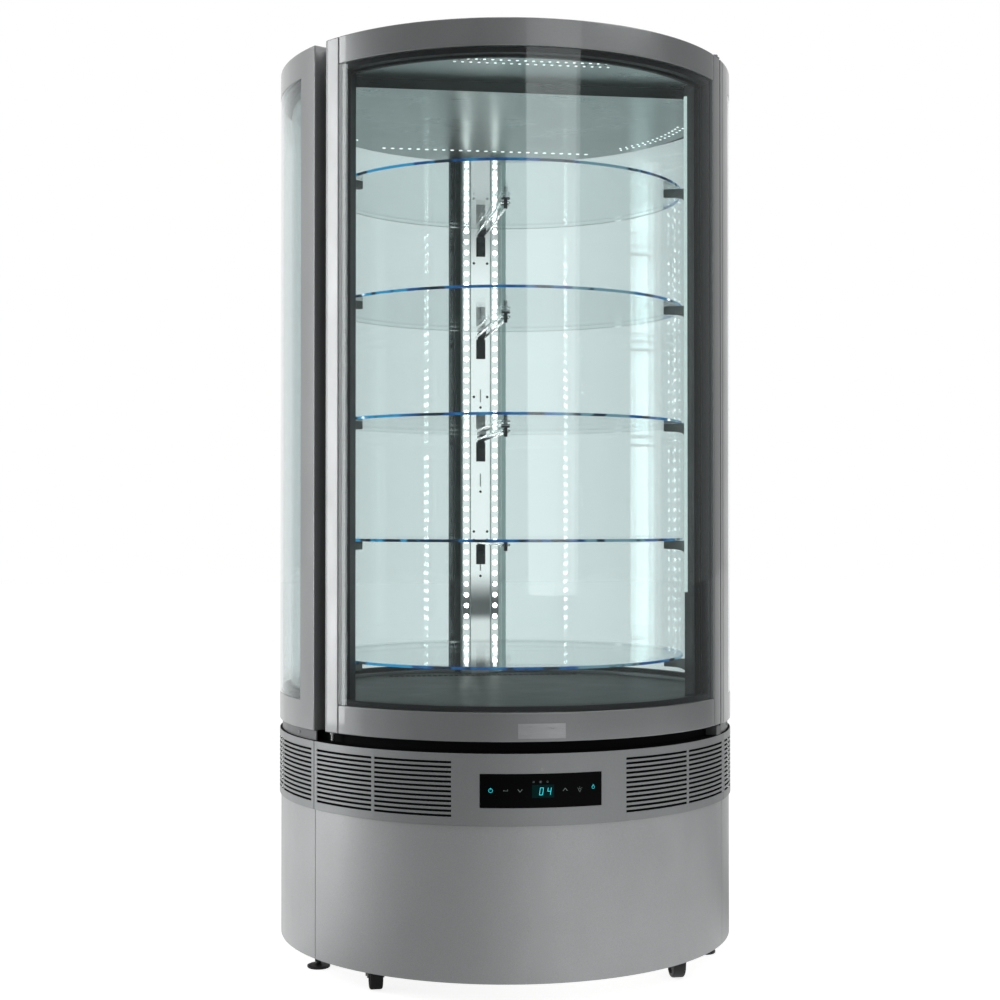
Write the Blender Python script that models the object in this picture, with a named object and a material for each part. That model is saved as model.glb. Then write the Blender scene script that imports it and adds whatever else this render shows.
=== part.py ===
"""Round glass display cabinet, refrigerated: the construction model.

Metres, +Z up. The origin is on the cabinet's axis at the floor, and the door faces -Y.
Angles are in degrees from the front, growing towards +X.
"""
import math

import bmesh
import bpy
from mathutils import Matrix, Vector

# Clearances
GAP = 0.0003
SEAL_GAP = 0.0005
DOOR_CLEARANCE = 0.0015
SEAM = 0.0015
RUNNING_GAP = 0.0005

# Body, radii and depths
BODY_RADIUS = 0.465
FRAME_DEPTH = 0.028
SHEET = 0.002
GASKET_DEPTH = 0.010
POST_DEPTH = 0.026
SKIRT_STEP = 0.0035
SIDE_NECK_STEP = 0.006
DOOR_NECK_STEP = 0.025
RING_WIDTH = 0.0627
FACET_LOWER = 10.0
FACET_UPPER = 7.5
SECTOR_HALF = 60.0

# Heights, from the floor upwards
SKIRT_CLEARANCE = 0.041
SKIRT_HEIGHT = 0.285
BAND_HEIGHT = 0.130
NECK_HEIGHT = 0.019
UPPER_HEIGHT = 1.315
RING_FLANGE = 0.010
BOTTOM_RAIL = 0.055
TOP_RAIL = 0.052

# Deck and roof
DECK_FOAM = 0.0465
DECK_SHEET = 0.0017
ROOF_THICKNESS = 0.0525
CEILING_SHEET = 0.0012
CEILING_DROP = 0.0222
CEILING_FRONT = 0.217
CEILING_EDGE = 0.0167
CEILING_STEP_ANGLE = 3.0
CEILING_SIDE_ANGLE = 1.0
CEILING_POST_ANGLE = 0.6
CEILING_FLANGE_HALF = 0.150
CEILING_FLANGE_SET = 0.020
PERFORATION_PITCH = 0.0185
PERFORATION_RADIUS = 0.003
CEILING_FRONT_ROW_SET = 0.065
CEILING_FRONT_ROW_HALF = 0.1388
CEILING_REAR_ROW_SET = 0.120
CEILING_REAR_ROW_HALF = 0.2313
DECK_REAR_ROW_SET = 0.057
DECK_REAR_ROW_HALF = 0.2035

# Grille band
BLOCK_ANGLE = 20.0
PLAIN_HALF = 20.0
RIB_WIDTH = 0.0065
SECTOR_END = 0.010
SLOT_ROWS = 12
SLOT_PITCH = 0.00878
SLOT_HEIGHT = 0.0035
WINDOW_ROWS = 7

# Control panel
CONTROL_HALF_WIDTH = 0.113
CONTROL_SET = 0.0002
MODULE_ANGLE = 10.0
MODULE_DEPTH = 0.032
MODULE_MARGIN = 0.007

# Door
FINGER_GAP = 0.036
HINGE_GAP = 0.018
STILE_WIDTH = 0.039
PANE_SET = 0.001
OUTER_PANE = 0.005
INNER_PANE = 0.004
GASKET_WIDTH = 0.022
GASKET_BOTTOM = 0.022
GASKET_TOP = 0.043
GASKET_END = 0.006
PIVOT_INSET = 0.008
PIVOT_END = 0.010
PIN_RADIUS = 0.004
PIN_LENGTH = 0.014
HINGE_PLATE = 0.003
HINGE_CAP = 0.0025
HINGE_CAP_RADIUS = 0.0065
HINGE_HALF_WIDTH = 0.013
HINGE_REACH = 0.058

# Side frames and posts
SIDE_STILE = 0.058
REAR_STILE = 0.058
POST_LIP = 0.058
POST_BEVEL = 0.016
COLUMN_SET = 0.005
COLUMN_WIDTH = 0.086
COLUMN_PLATE_WIDTH = 0.044
COLUMN_PLATE = 0.0015
COLUMN_WALL = 0.003
LED_WIDTH = 0.016
LED_DEPTH = 0.0045
LED_MARGIN = 0.020
LED_SPACE = 0.003

# Shelves
SHELF_COUNT = 5
SHELF_EDGE = 0.032
SHELF_GLASS = 0.0055
FIRST_SHELF = 0.0745
SHELF_PITCH = 0.238
SHELF_FACETS = 36
PAD_HEIGHT = 0.008
PAD_RADIUS = 0.010
ARM_ROD = 0.003
ARM_SPREAD = 0.009
ARM_SINK = 0.0012
BRACKET_WIDTH = 0.012
BRACKET_REACH = 0.064
BRACKET_HEIGHT = 0.028
BRACKET_TIP = 0.006
BRACKET_ANGLE = 66.2
REAR_BRACKET_REACH = 0.044
REAR_BRACKET_WIDTH = 0.016

# Base plate, castors and feet
PLATE_THICKNESS = 0.004
PLATE_RIM = 0.030
RIM_WALL = 0.003
WHEEL_RADIUS = 0.030
WHEEL_WIDTH = 0.025
AXLE_RADIUS = 0.004
WHEEL_FACETS = 16
CASTOR_TRAIL = 0.022
CASTOR_INSET = 0.0561
CASTOR_ANGLE = 45.8
FORK_SHEET = 0.003
FORK_CLEARANCE = 0.006
FORK_SIDE_GAP = 0.0008
FORK_BEHIND = 0.036
FORK_AHEAD = 0.014
HEAD_RADIUS = 0.017
HEAD_HEIGHT = 0.011
STEM_RADIUS = 0.005
STEM_ABOVE = 0.020
FOOT_ANGLE = 71.0
FOOT_INSET = 0.0472
FOOT_RADIUS = 0.0225
FOOT_HEIGHT = 0.008
FOOT_STEM_RADIUS = 0.005
UPRIGHT_WIDTH = 0.040
UPRIGHT_DEPTH = 0.025
GLAND_INSET = 0.0942
GLAND_RADIUS = 0.009
GLAND_FLANGE = 0.0125
GLAND_BORE = 0.004

# Condensing unit
COMPRESSOR_PLACE = (0.175, 0.095)
COMPRESSOR_RADIUS = 0.078
COMPRESSOR_WAIST = 0.96
COMPRESSOR_HEIGHT = 0.185
COMPRESSOR_FOOT = 0.165
COMPRESSOR_LEG = 0.018
CONDENSER_WIDTH = 0.270
CONDENSER_HEIGHT = 0.205
CONDENSER_DEPTH = 0.050
CONDENSER_X = -0.060
CONDENSER_FRONT = -0.250
COIL_SHEET = 0.002
COIL_LIP = 0.006
FAN_HUB = 0.022
FAN_SHAFT = 0.003
FAN_BLADE = 0.0025
FAN_PITCH = 32.0
BLADE_SHARE = 0.85
BLADE_SINK = 0.0022
CONDENSER_FAN_RADIUS = 0.088
CONDENSER_FAN_DEPTH = 0.024
SHROUD_GAP = 0.006
SHROUD_SHEET = 0.002
MOTOR_RADIUS = 0.034
MOTOR_LENGTH = 0.045
ARM_HEIGHT = 0.014
CONDENSER_BLADES = 5

# Evaporator and its tub
TUB_HALF_WIDTH = 0.170
TUB_FRONT = -0.190
TUB_REAR_SET = 0.043
TUB_DEPTH = 0.100
TUB_WALL = 0.014
CHANNEL_DEPTH = 0.012
CHANNEL_WIDTH = 0.018
EVAPORATOR_WIDTH = 0.280
EVAPORATOR_DEPTH = 0.110
EVAPORATOR_HEIGHT = 0.095
EVAPORATOR_FRONT = -0.060
EVAPORATOR_FAN_RADIUS = 0.042
EVAPORATOR_FAN_DEPTH = 0.016
EVAPORATOR_MOTOR_RADIUS = 0.022
EVAPORATOR_MOTOR_LENGTH = 0.030
EVAPORATOR_BLADES = 5

# Refrigerant tubes
TUBE_RADIUS = 0.004

# Levels worked out from the heights
SKIRT_TOP = SKIRT_CLEARANCE + SKIRT_HEIGHT
BAND_BOTTOM = SKIRT_TOP + GAP
BAND_TOP = BAND_BOTTOM + BAND_HEIGHT
FLANGE_TOP = BAND_TOP
FLANGE_BOTTOM = FLANGE_TOP - RING_FLANGE
RING_TOP = BAND_TOP + NECK_HEIGHT
UPPER_BOTTOM = RING_TOP + GAP
UPPER_TOP = UPPER_BOTTOM + UPPER_HEIGHT
DOOR_BOTTOM = UPPER_BOTTOM + DOOR_CLEARANCE
DOOR_TOP = UPPER_TOP
DECK_TOP = UPPER_BOTTOM + DECK_FOAM
FLOOR_TOP = DECK_TOP + GAP + DECK_SHEET
ROOF_BOTTOM = UPPER_TOP - ROOF_THICKNESS
CEILING_BOTTOM = ROOF_BOTTOM - CEILING_DROP
POST_BOTTOM = FLOOR_TOP + GAP
POST_TOP = ROOF_BOTTOM - GAP
PLATE_BOTTOM = 2 * WHEEL_RADIUS + FORK_CLEARANCE + FORK_SHEET + HEAD_HEIGHT + GAP
PLATE_TOP = PLATE_BOTTOM + PLATE_THICKNESS
UNIT_BOTTOM = PLATE_TOP + GAP
UPRIGHT_TOP = FLANGE_BOTTOM - GAP

# Radii worked out from the body
SKIRT_RADIUS = BODY_RADIUS - SKIRT_STEP
PLATE_RADIUS = SKIRT_RADIUS - SHEET - GAP
BAND_INNER = BODY_RADIUS - SHEET
FLANGE_RADIUS = BAND_INNER - GAP
SIDE_NECK = BODY_RADIUS - SIDE_NECK_STEP
DOOR_NECK = BODY_RADIUS - DOOR_NECK_STEP
FRAME_INNER = BODY_RADIUS - FRAME_DEPTH
GASKET_OUTER = FRAME_INNER - SEAL_GAP
GASKET_INNER = GASKET_OUTER - GASKET_DEPTH
SEAL_RADIUS = GASKET_INNER - SEAL_GAP
POST_INNER = SEAL_RADIUS - POST_DEPTH
SIDE_FILL = FRAME_INNER - GAP
RING_INNER = FLANGE_RADIUS - RING_WIDTH
SHELF_RADIUS = POST_INNER - SHELF_EDGE
COLUMN_FACE = POST_INNER - COLUMN_SET
CEILING_RADIUS = SIDE_FILL - CEILING_EDGE
CEILING_FRONT_ROW = SEAL_RADIUS - CEILING_FRONT_ROW_SET
CEILING_REAR_ROW = CEILING_RADIUS - CEILING_REAR_ROW_SET
DECK_REAR_ROW = COLUMN_FACE - DECK_REAR_ROW_SET
TUB_REAR = COLUMN_FACE - TUB_REAR_SET
FOOT_PLACE = PLATE_RADIUS - FOOT_INSET
GLAND_PLACE = PLATE_RADIUS - GLAND_INSET
CASTOR_PLACE = PLATE_RADIUS - CASTOR_INSET


def degrees_of(length, radius=BODY_RADIUS):
    """The angle that a length takes up along an arc."""
    return math.degrees(length / radius)


# Angles worked out from the lengths along the body
SEAM_ANGLE = degrees_of(SEAM / 2)
DOOR_LEFT = -SECTOR_HALF + degrees_of(FINGER_GAP)
DOOR_RIGHT = SECTOR_HALF - degrees_of(HINGE_GAP)
STILE_ANGLE = degrees_of(STILE_WIDTH)
PIVOT_ANGLE = DOOR_RIGHT - degrees_of(PIVOT_END)
PIVOT_RADIUS = BODY_RADIUS - PIVOT_INSET
GASKET_LEFT = DOOR_LEFT + degrees_of(GASKET_END)
GASKET_RIGHT = PIVOT_ANGLE - degrees_of(PIVOT_END + PIN_RADIUS)

STEEL_GREY = ((0.20, 0.20, 0.21), 0.38, 0.85)
PAINT_GREY = ((0.42, 0.42, 0.41), 0.50, 0.30)
STAINLESS = ((0.45, 0.46, 0.45), 0.25, 1.00)
DARK_METAL = ((0.05, 0.05, 0.055), 0.40, 0.60)
BLACK_RUBBER = ((0.01, 0.01, 0.01), 0.70, 0.00)
BLACK_PLASTIC = ((0.02, 0.02, 0.02), 0.45, 0.00)
CLEAR_GLASS = ((0.75, 0.88, 0.86), 0.05, 0.00)
BLACK_GLASS = ((0.005, 0.005, 0.006), 0.08, 0.00)
CHROME = ((0.75, 0.75, 0.76), 0.10, 1.00)
FOAM = ((0.70, 0.66, 0.50), 0.80, 0.00)
ALUMINIUM = ((0.62, 0.63, 0.64), 0.35, 0.90)
ZINC = ((0.50, 0.50, 0.48), 0.35, 0.90)


def polar(radius, angle, height=0.0):
    """A point on the cabinet's circle, from its radius, angle and height."""
    turn = math.radians(angle)
    return Vector((radius * math.sin(turn), -radius * math.cos(turn), height))


def stations(start, end, facet):
    """The angles where a curved piece has its corners: its ends, and the shared facets between."""
    angles = [start]
    index = math.floor(start / facet) + 1
    while index * facet < end - SEAM_ANGLE / 2:
        if index * facet > start + SEAM_ANGLE / 2:
            angles.append(index * facet)
        index += 1
    angles.append(end)
    return angles


def facet_radius(radius, angle, facet):
    """How far a faceted wall lies from the axis at an angle."""
    middle = (math.floor(angle / facet) + 0.5) * facet
    return radius * math.cos(math.radians(facet / 2)) / math.cos(math.radians(angle - middle))


def clear_scene():
    """Take every object out of the file."""
    for thing in list(bpy.data.objects):
        bpy.data.objects.remove(thing, do_unlink=True)


def finish_material(name, finish):
    """A material of one piece, from its colour, roughness and metallic value."""
    colour, roughness, metallic = finish
    material = bpy.data.materials.new(name)
    material.use_nodes = True
    shader = material.node_tree.nodes["Principled BSDF"]
    shader.inputs["Base Color"].default_value = (*colour, 1.0)
    shader.inputs["Roughness"].default_value = roughness
    shader.inputs["Metallic"].default_value = metallic
    if finish is CLEAR_GLASS:
        shader.inputs["Transmission Weight"].default_value = 1.0
    return material


def close_solid(mesh):
    """Weld the shape's seams and turn its faces outwards."""
    bmesh.ops.remove_doubles(mesh, verts=mesh.verts[:], dist=0.00001)
    bmesh.ops.recalc_face_normals(mesh, faces=mesh.faces[:])
    return mesh


def shell(angles, levels, outer, inner, windows=()):
    """A curved wall: a grid bent round the axis, with its windows cut out, drawn inwards to its depth."""
    mesh = bmesh.new()
    columns = len(angles) - 1
    rows = len(levels) - 1
    bmesh.ops.create_grid(mesh, x_segments=columns, y_segments=rows, size=1.0)
    holed = set()
    opened = []
    for face in mesh.faces:
        middle = face.calc_center_median()
        column = int((middle.x + 1) / 2 * columns)
        row = int((middle.y + 1) / 2 * rows)
        angle = (angles[column] + angles[column + 1]) / 2
        level = (levels[row] + levels[row + 1]) / 2
        if any(a0 < angle < a1 and z0 < level < z1 for a0, a1, z0, z1 in windows):
            opened.append(face)
            holed.add(column)
    whole = [vert for vert in mesh.verts if is_whole(vert, columns, holed)]
    for vert in mesh.verts:
        column = round((vert.co.x + 1) / 2 * columns)
        row = round((vert.co.y + 1) / 2 * rows)
        vert.co = polar(outer, angles[column], levels[row])
    bmesh.ops.delete(mesh, geom=opened, context="FACES")
    if windows:
        flat = [edge for edge in mesh.edges if edge.verts[0] in whole and edge.verts[1] in whole]
        bmesh.ops.dissolve_limit(mesh, angle_limit=math.radians(1), verts=whole, edges=flat)
    grown = bmesh.ops.extrude_face_region(mesh, geom=mesh.faces[:])
    for item in grown["geom"]:
        if isinstance(item, bmesh.types.BMVert):
            item.co.x *= inner / outer
            item.co.y *= inner / outer
    return close_solid(mesh)


def is_whole(vert, columns, holed):
    """Whether a corner of the flat grid touches no column that has a window."""
    column = round((vert.co.x + 1) / 2 * columns)
    return column not in holed and column - 1 not in holed


def turned(profile, facets, closed=True):
    """A turned shape on the Z axis, from its half section; an open section starts and ends on the axis."""
    mesh = bmesh.new()
    verts = [mesh.verts.new((0.0, -radius, height)) for radius, height in profile]
    ends = verts[1:] + verts[:1] if closed else verts[1:]
    edges = [mesh.edges.new(pair) for pair in zip(verts, ends)]
    bmesh.ops.spin(mesh, geom=verts + edges, cent=(0, 0, 0), axis=(0, 0, 1), angle=math.tau,
                   steps=facets, use_merge=True)
    return close_solid(mesh)


def slab(outline, low, high, holes=()):
    """A flat plate: its outline and holes filled, and drawn up to its thickness."""
    mesh = bmesh.new()
    for ring in [outline, *holes]:
        verts = [mesh.verts.new((point[0], point[1], low)) for point in ring]
        for pair in zip(verts, verts[1:] + verts[:1]):
            mesh.edges.new(pair)
    bmesh.ops.triangle_fill(mesh, edges=mesh.edges[:], use_beauty=True, normal=(0, 0, 1))
    grown = bmesh.ops.extrude_face_region(mesh, geom=mesh.faces[:])
    raised = [item for item in grown["geom"] if isinstance(item, bmesh.types.BMVert)]
    bmesh.ops.translate(mesh, verts=raised, vec=(0, 0, high - low))
    return close_solid(mesh)


def block(low, high):
    """A box between two corners."""
    mesh = bmesh.new()
    size = Vector(high) - Vector(low)
    place = Matrix.Translation((Vector(high) + Vector(low)) / 2) @ Matrix.Diagonal((*size, 1.0))
    bmesh.ops.create_cube(mesh, size=1.0, matrix=place)
    return mesh


def radial_block(angle, near, far, width, low, high):
    """A box that points away from the axis."""
    mesh = block((-width / 2, -far, low), (width / 2, -near, high))
    bmesh.ops.rotate(mesh, verts=mesh.verts[:], cent=(0, 0, 0),
                     matrix=Matrix.Rotation(math.radians(angle), 3, "Z"))
    return mesh


def rod(start, end, radius, facets):
    """A round bar between two points."""
    mesh = bmesh.new()
    start = Vector(start)
    along = Vector(end) - start
    turn = along.to_track_quat("Z", "Y").to_matrix().to_4x4()
    bmesh.ops.create_cone(mesh, cap_ends=True, segments=facets, radius1=radius, radius2=radius,
                          depth=along.length, matrix=Matrix.Translation(start + along / 2) @ turn)
    return mesh


def ring_points(centre, radius, count):
    """The corners of a small round hole."""
    turns = [math.tau * (index + 0.5) / count for index in range(count)]
    return [(centre[0] + radius * math.cos(turn), centre[1] + radius * math.sin(turn)) for turn in turns]


def piece(name, finish, shape):
    """One named object, made of one solid."""
    data = bpy.data.meshes.new(name)
    shape.to_mesh(data)
    shape.free()
    data.shade_smooth()
    data.set_sharp_from_angle(angle=math.radians(30))
    data.materials.append(finish_material(name, finish))
    thing = bpy.data.objects.new(name, data)
    bpy.context.scene.collection.objects.link(thing)
    return thing


def carve(thing, shape, operation="DIFFERENCE"):
    """Cut a hidden shape out of a piece, or weld it on."""
    data = bpy.data.meshes.new(thing.name + "_tool")
    shape.to_mesh(data)
    shape.free()
    tool = bpy.data.objects.new(data.name, data)
    bpy.context.scene.collection.objects.link(tool)
    tool.hide_render = True
    tool.display_type = "WIRE"
    tool.parent = thing
    modifier = thing.modifiers.new(operation.title(), "BOOLEAN")
    modifier.operation = operation
    modifier.solver = "EXACT"
    modifier.object = tool


def weld(thing, *shapes):
    """Make hidden shapes one with a piece."""
    for shape in shapes:
        carve(thing, shape, "UNION")


def pivot(name, place, parent=None):
    """An empty on a joint's axis; its place is in the room."""
    empty = bpy.data.objects.new(name, None)
    bpy.context.scene.collection.objects.link(empty)
    empty.location = Vector(place)
    if parent is not None:
        empty.parent = parent
        empty.location = Vector(place) - parent.location
    return empty


def hang(things, joint, place):
    """Put pieces that are modelled in the room's frame under a joint's empty."""
    for thing in things:
        thing.parent = joint
        thing.location = -Vector(place)


def tube(route, radius):
    """A bent round tube along a route: a bevelled curve, made a mesh."""
    curve = bpy.data.curves.new("route", "CURVE")
    curve.dimensions = "3D"
    curve.bevel_depth = radius
    curve.bevel_resolution = 1
    curve.use_fill_caps = True
    spline = curve.splines.new("POLY")
    spline.points.add(len(route) - 1)
    for point, place in zip(spline.points, route):
        point.co = (*place, 1.0)
    thing = bpy.data.objects.new("route", curve)
    bpy.context.scene.collection.objects.link(thing)
    data = thing.to_mesh()
    mesh = bmesh.new()
    mesh.from_mesh(data)
    thing.to_mesh_clear()
    bpy.data.objects.remove(thing, do_unlink=True)
    return close_solid(mesh)


def rounded(corners, radius):
    """A route through corners, each of them turned by a short arc of three points."""
    route = [Vector(corners[0])]
    for before, corner, after in zip(corners, corners[1:], corners[2:]):
        corner = Vector(corner)
        back = corner + (Vector(before) - corner).normalized() * radius
        ahead = corner + (Vector(after) - corner).normalized() * radius
        route += [back, (back + ahead + 2 * corner) / 4, ahead]
    return route + [Vector(corners[-1])]


def side_angles(start_gap=0.0, end_gap=0.0, facet=FACET_UPPER):
    """The corners of the right-hand side sector, from the front seam to the rear one."""
    start = SECTOR_HALF + SEAM_ANGLE + start_gap
    end = 180.0 - SEAM_ANGLE - end_gap
    return stations(start, end, facet)


def mirrored(angles):
    """The same corners on the left-hand side."""
    return [-angle for angle in reversed(angles)]


def make_skirts():
    """The three plain sheets round the base, down to the floor clearance."""
    inner = SKIRT_RADIUS - SHEET
    levels = [SKIRT_CLEARANCE, SKIRT_TOP]
    front = stations(-SECTOR_HALF + SEAM_ANGLE, SECTOR_HALF - SEAM_ANGLE, FACET_LOWER)
    right = side_angles(facet=FACET_LOWER)
    piece("skirt_front", PAINT_GREY, shell(front, levels, SKIRT_RADIUS, inner))
    piece("skirt_right", PAINT_GREY, shell(right, levels, SKIRT_RADIUS, inner))
    piece("skirt_left", PAINT_GREY, shell(mirrored(right), levels, SKIRT_RADIUS, inner))


def slot_levels():
    """The lower and upper edge of each row of slots in the band."""
    first = BAND_BOTTOM + (BAND_HEIGHT - (SLOT_ROWS - 1) * SLOT_PITCH - SLOT_HEIGHT) / 2
    return [(first + row * SLOT_PITCH, first + row * SLOT_PITCH + SLOT_HEIGHT) for row in range(SLOT_ROWS)]


def slot_blocks(start, end):
    """The angles that each block of slots covers, between its ribs."""
    rib = degrees_of(RIB_WIDTH) / 2
    margin = degrees_of(SECTOR_END)
    blocks = []
    left = start
    while left < end - BLOCK_ANGLE / 2:
        right = left + BLOCK_ANGLE
        first = left + (margin if left == start else rib)
        last = right - (margin if right > end - rib else rib)
        blocks.append((first, last))
        left = right
    return blocks


def band_angles(start, end, blocks):
    """The corners of a band sheet: its ends, its slots' ends and a facet in each block's middle."""
    angles = {start, end}
    for first, last in blocks:
        angles |= {first, last}
        angles |= set(stations(first, last, FACET_LOWER))
    return sorted(angles)


def make_grilles():
    """The slotted band: a front sheet with a plain middle and a display window, and two side sheets."""
    rows = slot_levels()
    levels = [BAND_BOTTOM, *[edge for row in rows for edge in row], BAND_TOP]
    seam = SEAM_ANGLE
    right_blocks = slot_blocks(SECTOR_HALF, 180.0)
    right = band_angles(SECTOR_HALF + seam, 180.0 - seam, right_blocks)
    right_slots = [(*block_ends, *row) for block_ends in right_blocks for row in rows]
    left_slots = [(-last, -first, low, high) for first, last, low, high in right_slots]
    piece("grille_right", STEEL_GREY, shell(right, levels, BODY_RADIUS, BAND_INNER, right_slots))
    piece("grille_left", STEEL_GREY, shell(mirrored(right), levels, BODY_RADIUS, BAND_INNER, left_slots))
    half_blocks = slot_blocks(PLAIN_HALF, SECTOR_HALF)
    half_blocks[0] = (PLAIN_HALF + degrees_of(RIB_WIDTH) / 2, half_blocks[0][1])
    blocks = [(-last, -first) for first, last in reversed(half_blocks)] + half_blocks
    front = band_angles(-SECTOR_HALF + seam, SECTOR_HALF - seam, blocks)
    window = degrees_of(CONTROL_HALF_WIDTH + GAP)
    front = sorted(set(front) | set(stations(-window, window, FACET_LOWER)))
    windows = [(*block_ends, *row) for block_ends in blocks for row in rows]
    windows.append((-window, window, *window_levels()))
    piece("grille_front", STEEL_GREY, shell(front, levels, BODY_RADIUS, BAND_INNER, windows))


def window_levels():
    """The lower and upper edge of the band's window for the control glass."""
    rows = slot_levels()
    below = (SLOT_ROWS - WINDOW_ROWS) // 2
    return rows[below][0], rows[below + WINDOW_ROWS][0]


def make_control_panel():
    """The black control glass in the band's window, with the module behind it."""
    half = degrees_of(CONTROL_HALF_WIDTH)
    low, high = window_levels()
    glass = shell(stations(-half, half, FACET_LOWER), [low + GAP, high - GAP],
                  BODY_RADIUS - CONTROL_SET, BAND_INNER)
    piece("control_glass", BLACK_GLASS, glass)
    module = shell(stations(-MODULE_ANGLE, MODULE_ANGLE, FACET_LOWER),
                   [low - MODULE_MARGIN, high + MODULE_MARGIN],
                   FLANGE_RADIUS, FLANGE_RADIUS - MODULE_DEPTH)
    piece("control_module", BLACK_PLASTIC, module)


def make_ring():
    """The deck ring: a turned flange inside the band, set back under the door, with a neck at each side."""
    profile = [(RING_INNER, FLANGE_BOTTOM), (FLANGE_RADIUS, FLANGE_BOTTOM), (FLANGE_RADIUS, FLANGE_TOP),
               (DOOR_NECK, FLANGE_TOP), (DOOR_NECK, RING_TOP), (RING_INNER, RING_TOP)]
    ring = piece("deck_ring", DARK_METAL, turned(profile, round(360 / FACET_LOWER)))
    right = side_angles(facet=FACET_LOWER)
    levels = [(FLANGE_BOTTOM + FLANGE_TOP) / 2, RING_TOP - GAP]
    inside = DOOR_NECK - SHEET
    weld(ring, shell(right, levels, SIDE_NECK, inside))
    weld(ring, shell(mirrored(right), levels, SIDE_NECK, inside))


def body_outline(inset=0.0):
    """The outline of deck and roof: set back to the door's seal in front, and out to the side frames."""
    front = stations(-SECTOR_HALF, SECTOR_HALF, FACET_UPPER)
    rest = stations(SECTOR_HALF, 360.0 - SECTOR_HALF, FACET_UPPER)
    points = [polar(SEAL_RADIUS - inset, angle) for angle in front]
    return points + [polar(SIDE_FILL - inset, angle) for angle in rest]


def perforations(row_y, half_length):
    """A row of small holes across the cabinet."""
    count = round(2 * half_length / PERFORATION_PITCH) + 1
    places = [(-half_length + index * 2 * half_length / (count - 1), row_y) for index in range(count)]
    return [ring_points(place, PERFORATION_RADIUS, 4) for place in places]


def make_deck():
    """The foamed deck with its evaporator tub, and the perforated floor sheet on it."""
    deck = piece("insulated_deck", FOAM, slab(body_outline(), UPPER_BOTTOM, DECK_TOP))
    tub_bottom = UPPER_BOTTOM - TUB_DEPTH
    half = TUB_HALF_WIDTH
    weld(deck, block((-half, TUB_FRONT, tub_bottom), (half, TUB_REAR, UPPER_BOTTOM + DECK_FOAM / 2)))
    carve(deck, block((-half + TUB_WALL, TUB_FRONT + TUB_WALL, tub_bottom + TUB_WALL),
                      (half - TUB_WALL, TUB_REAR - TUB_WALL, DECK_TOP + TUB_WALL)))
    reach = DECK_REAR_ROW_HALF + CHANNEL_WIDTH
    carve(deck, block((-reach, DECK_REAR_ROW - CHANNEL_WIDTH, DECK_TOP - CHANNEL_DEPTH),
                      (reach, DECK_REAR_ROW + CHANNEL_WIDTH / 2, DECK_TOP + TUB_WALL)))
    holes = perforations(DECK_REAR_ROW, DECK_REAR_ROW_HALF)
    piece("deck_plate", STAINLESS, slab(body_outline(GAP), DECK_TOP + GAP, FLOOR_TOP, holes))


def make_roof():
    """The insulated roof slab."""
    piece("roof_cap", PAINT_GREY, slab(body_outline(), ROOF_BOTTOM, UPPER_TOP))


def make_ceiling():
    """The ceiling: a dropped pan over the shelves and a strip behind the door's top rail."""
    inner = POST_INNER - DOOR_CLEARANCE * 2
    post_end = SECTOR_HALF + FACET_UPPER + CEILING_SIDE_ANGLE
    corner = math.degrees(math.asin(math.sqrt(inner ** 2 - CEILING_FRONT ** 2) / inner))
    column_side = degrees_of(COLUMN_WIDTH / 2 + GAP * 10, CEILING_RADIUS)
    side = [polar(inner, angle) for angle in stations(corner, post_end, FACET_UPPER)]
    side += [polar(CEILING_RADIUS, angle) for angle in
             stations(post_end + CEILING_STEP_ANGLE, 180.0 - column_side, FACET_UPPER)]
    notch_x = side[-1].x
    notch = [Vector((notch_x, COLUMN_FACE - GAP * 2, 0))]
    half = side + notch
    outline = half + [Vector((-point.x, point.y, 0)) for point in reversed(half)]
    holes = perforations(CEILING_REAR_ROW, CEILING_REAR_ROW_HALF)
    pan = slab(outline, CEILING_BOTTOM, CEILING_BOTTOM + CEILING_SHEET, holes)
    ceiling = piece("ceiling_panel", STAINLESS, pan)
    low = CEILING_BOTTOM + CEILING_SHEET / 2
    high = ROOF_BOTTOM - GAP
    front = -CEILING_FRONT + GAP
    half = side[0].x - CEILING_SHEET * 2
    weld(ceiling, block((-half, front, low), (half, front + CEILING_SHEET, high)))
    weld(ceiling, ceiling_strip(inner, corner))
    half = CEILING_FLANGE_HALF
    rear = COLUMN_FACE - CEILING_FLANGE_SET
    weld(ceiling, block((-half, rear, low), (half, rear + CEILING_SHEET, high)))


def ceiling_strip(inner, corner):
    """The perforated strip of ceiling in front of the dropped pan."""
    front_radius = SEAL_RADIUS - GAP * 4
    post_start = SECTOR_HALF - degrees_of(POST_LIP, SEAL_RADIUS) - CEILING_POST_ANGLE
    half = [polar(front_radius, angle) for angle in stations(0.0, post_start, FACET_UPPER)][1:]
    bend = SECTOR_HALF - degrees_of(POST_LIP - POST_BEVEL, POST_INNER) - CEILING_POST_ANGLE
    narrow = inner - CEILING_SHEET * 3
    half += [polar(narrow, angle) for angle in (bend, corner - CEILING_SIDE_ANGLE)]
    half.append(Vector((half[-1].x, -CEILING_FRONT + GAP + CEILING_SHEET / 2, 0)))
    centre = polar(front_radius, 0.0)
    outline = [centre] + half + [Vector((-point.x, point.y, 0)) for point in reversed(half)]
    top = ROOF_BOTTOM - GAP * 2
    holes = perforations(-CEILING_FRONT_ROW, CEILING_FRONT_ROW_HALF)
    return slab(outline, top - CEILING_SHEET, top, holes)


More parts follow.
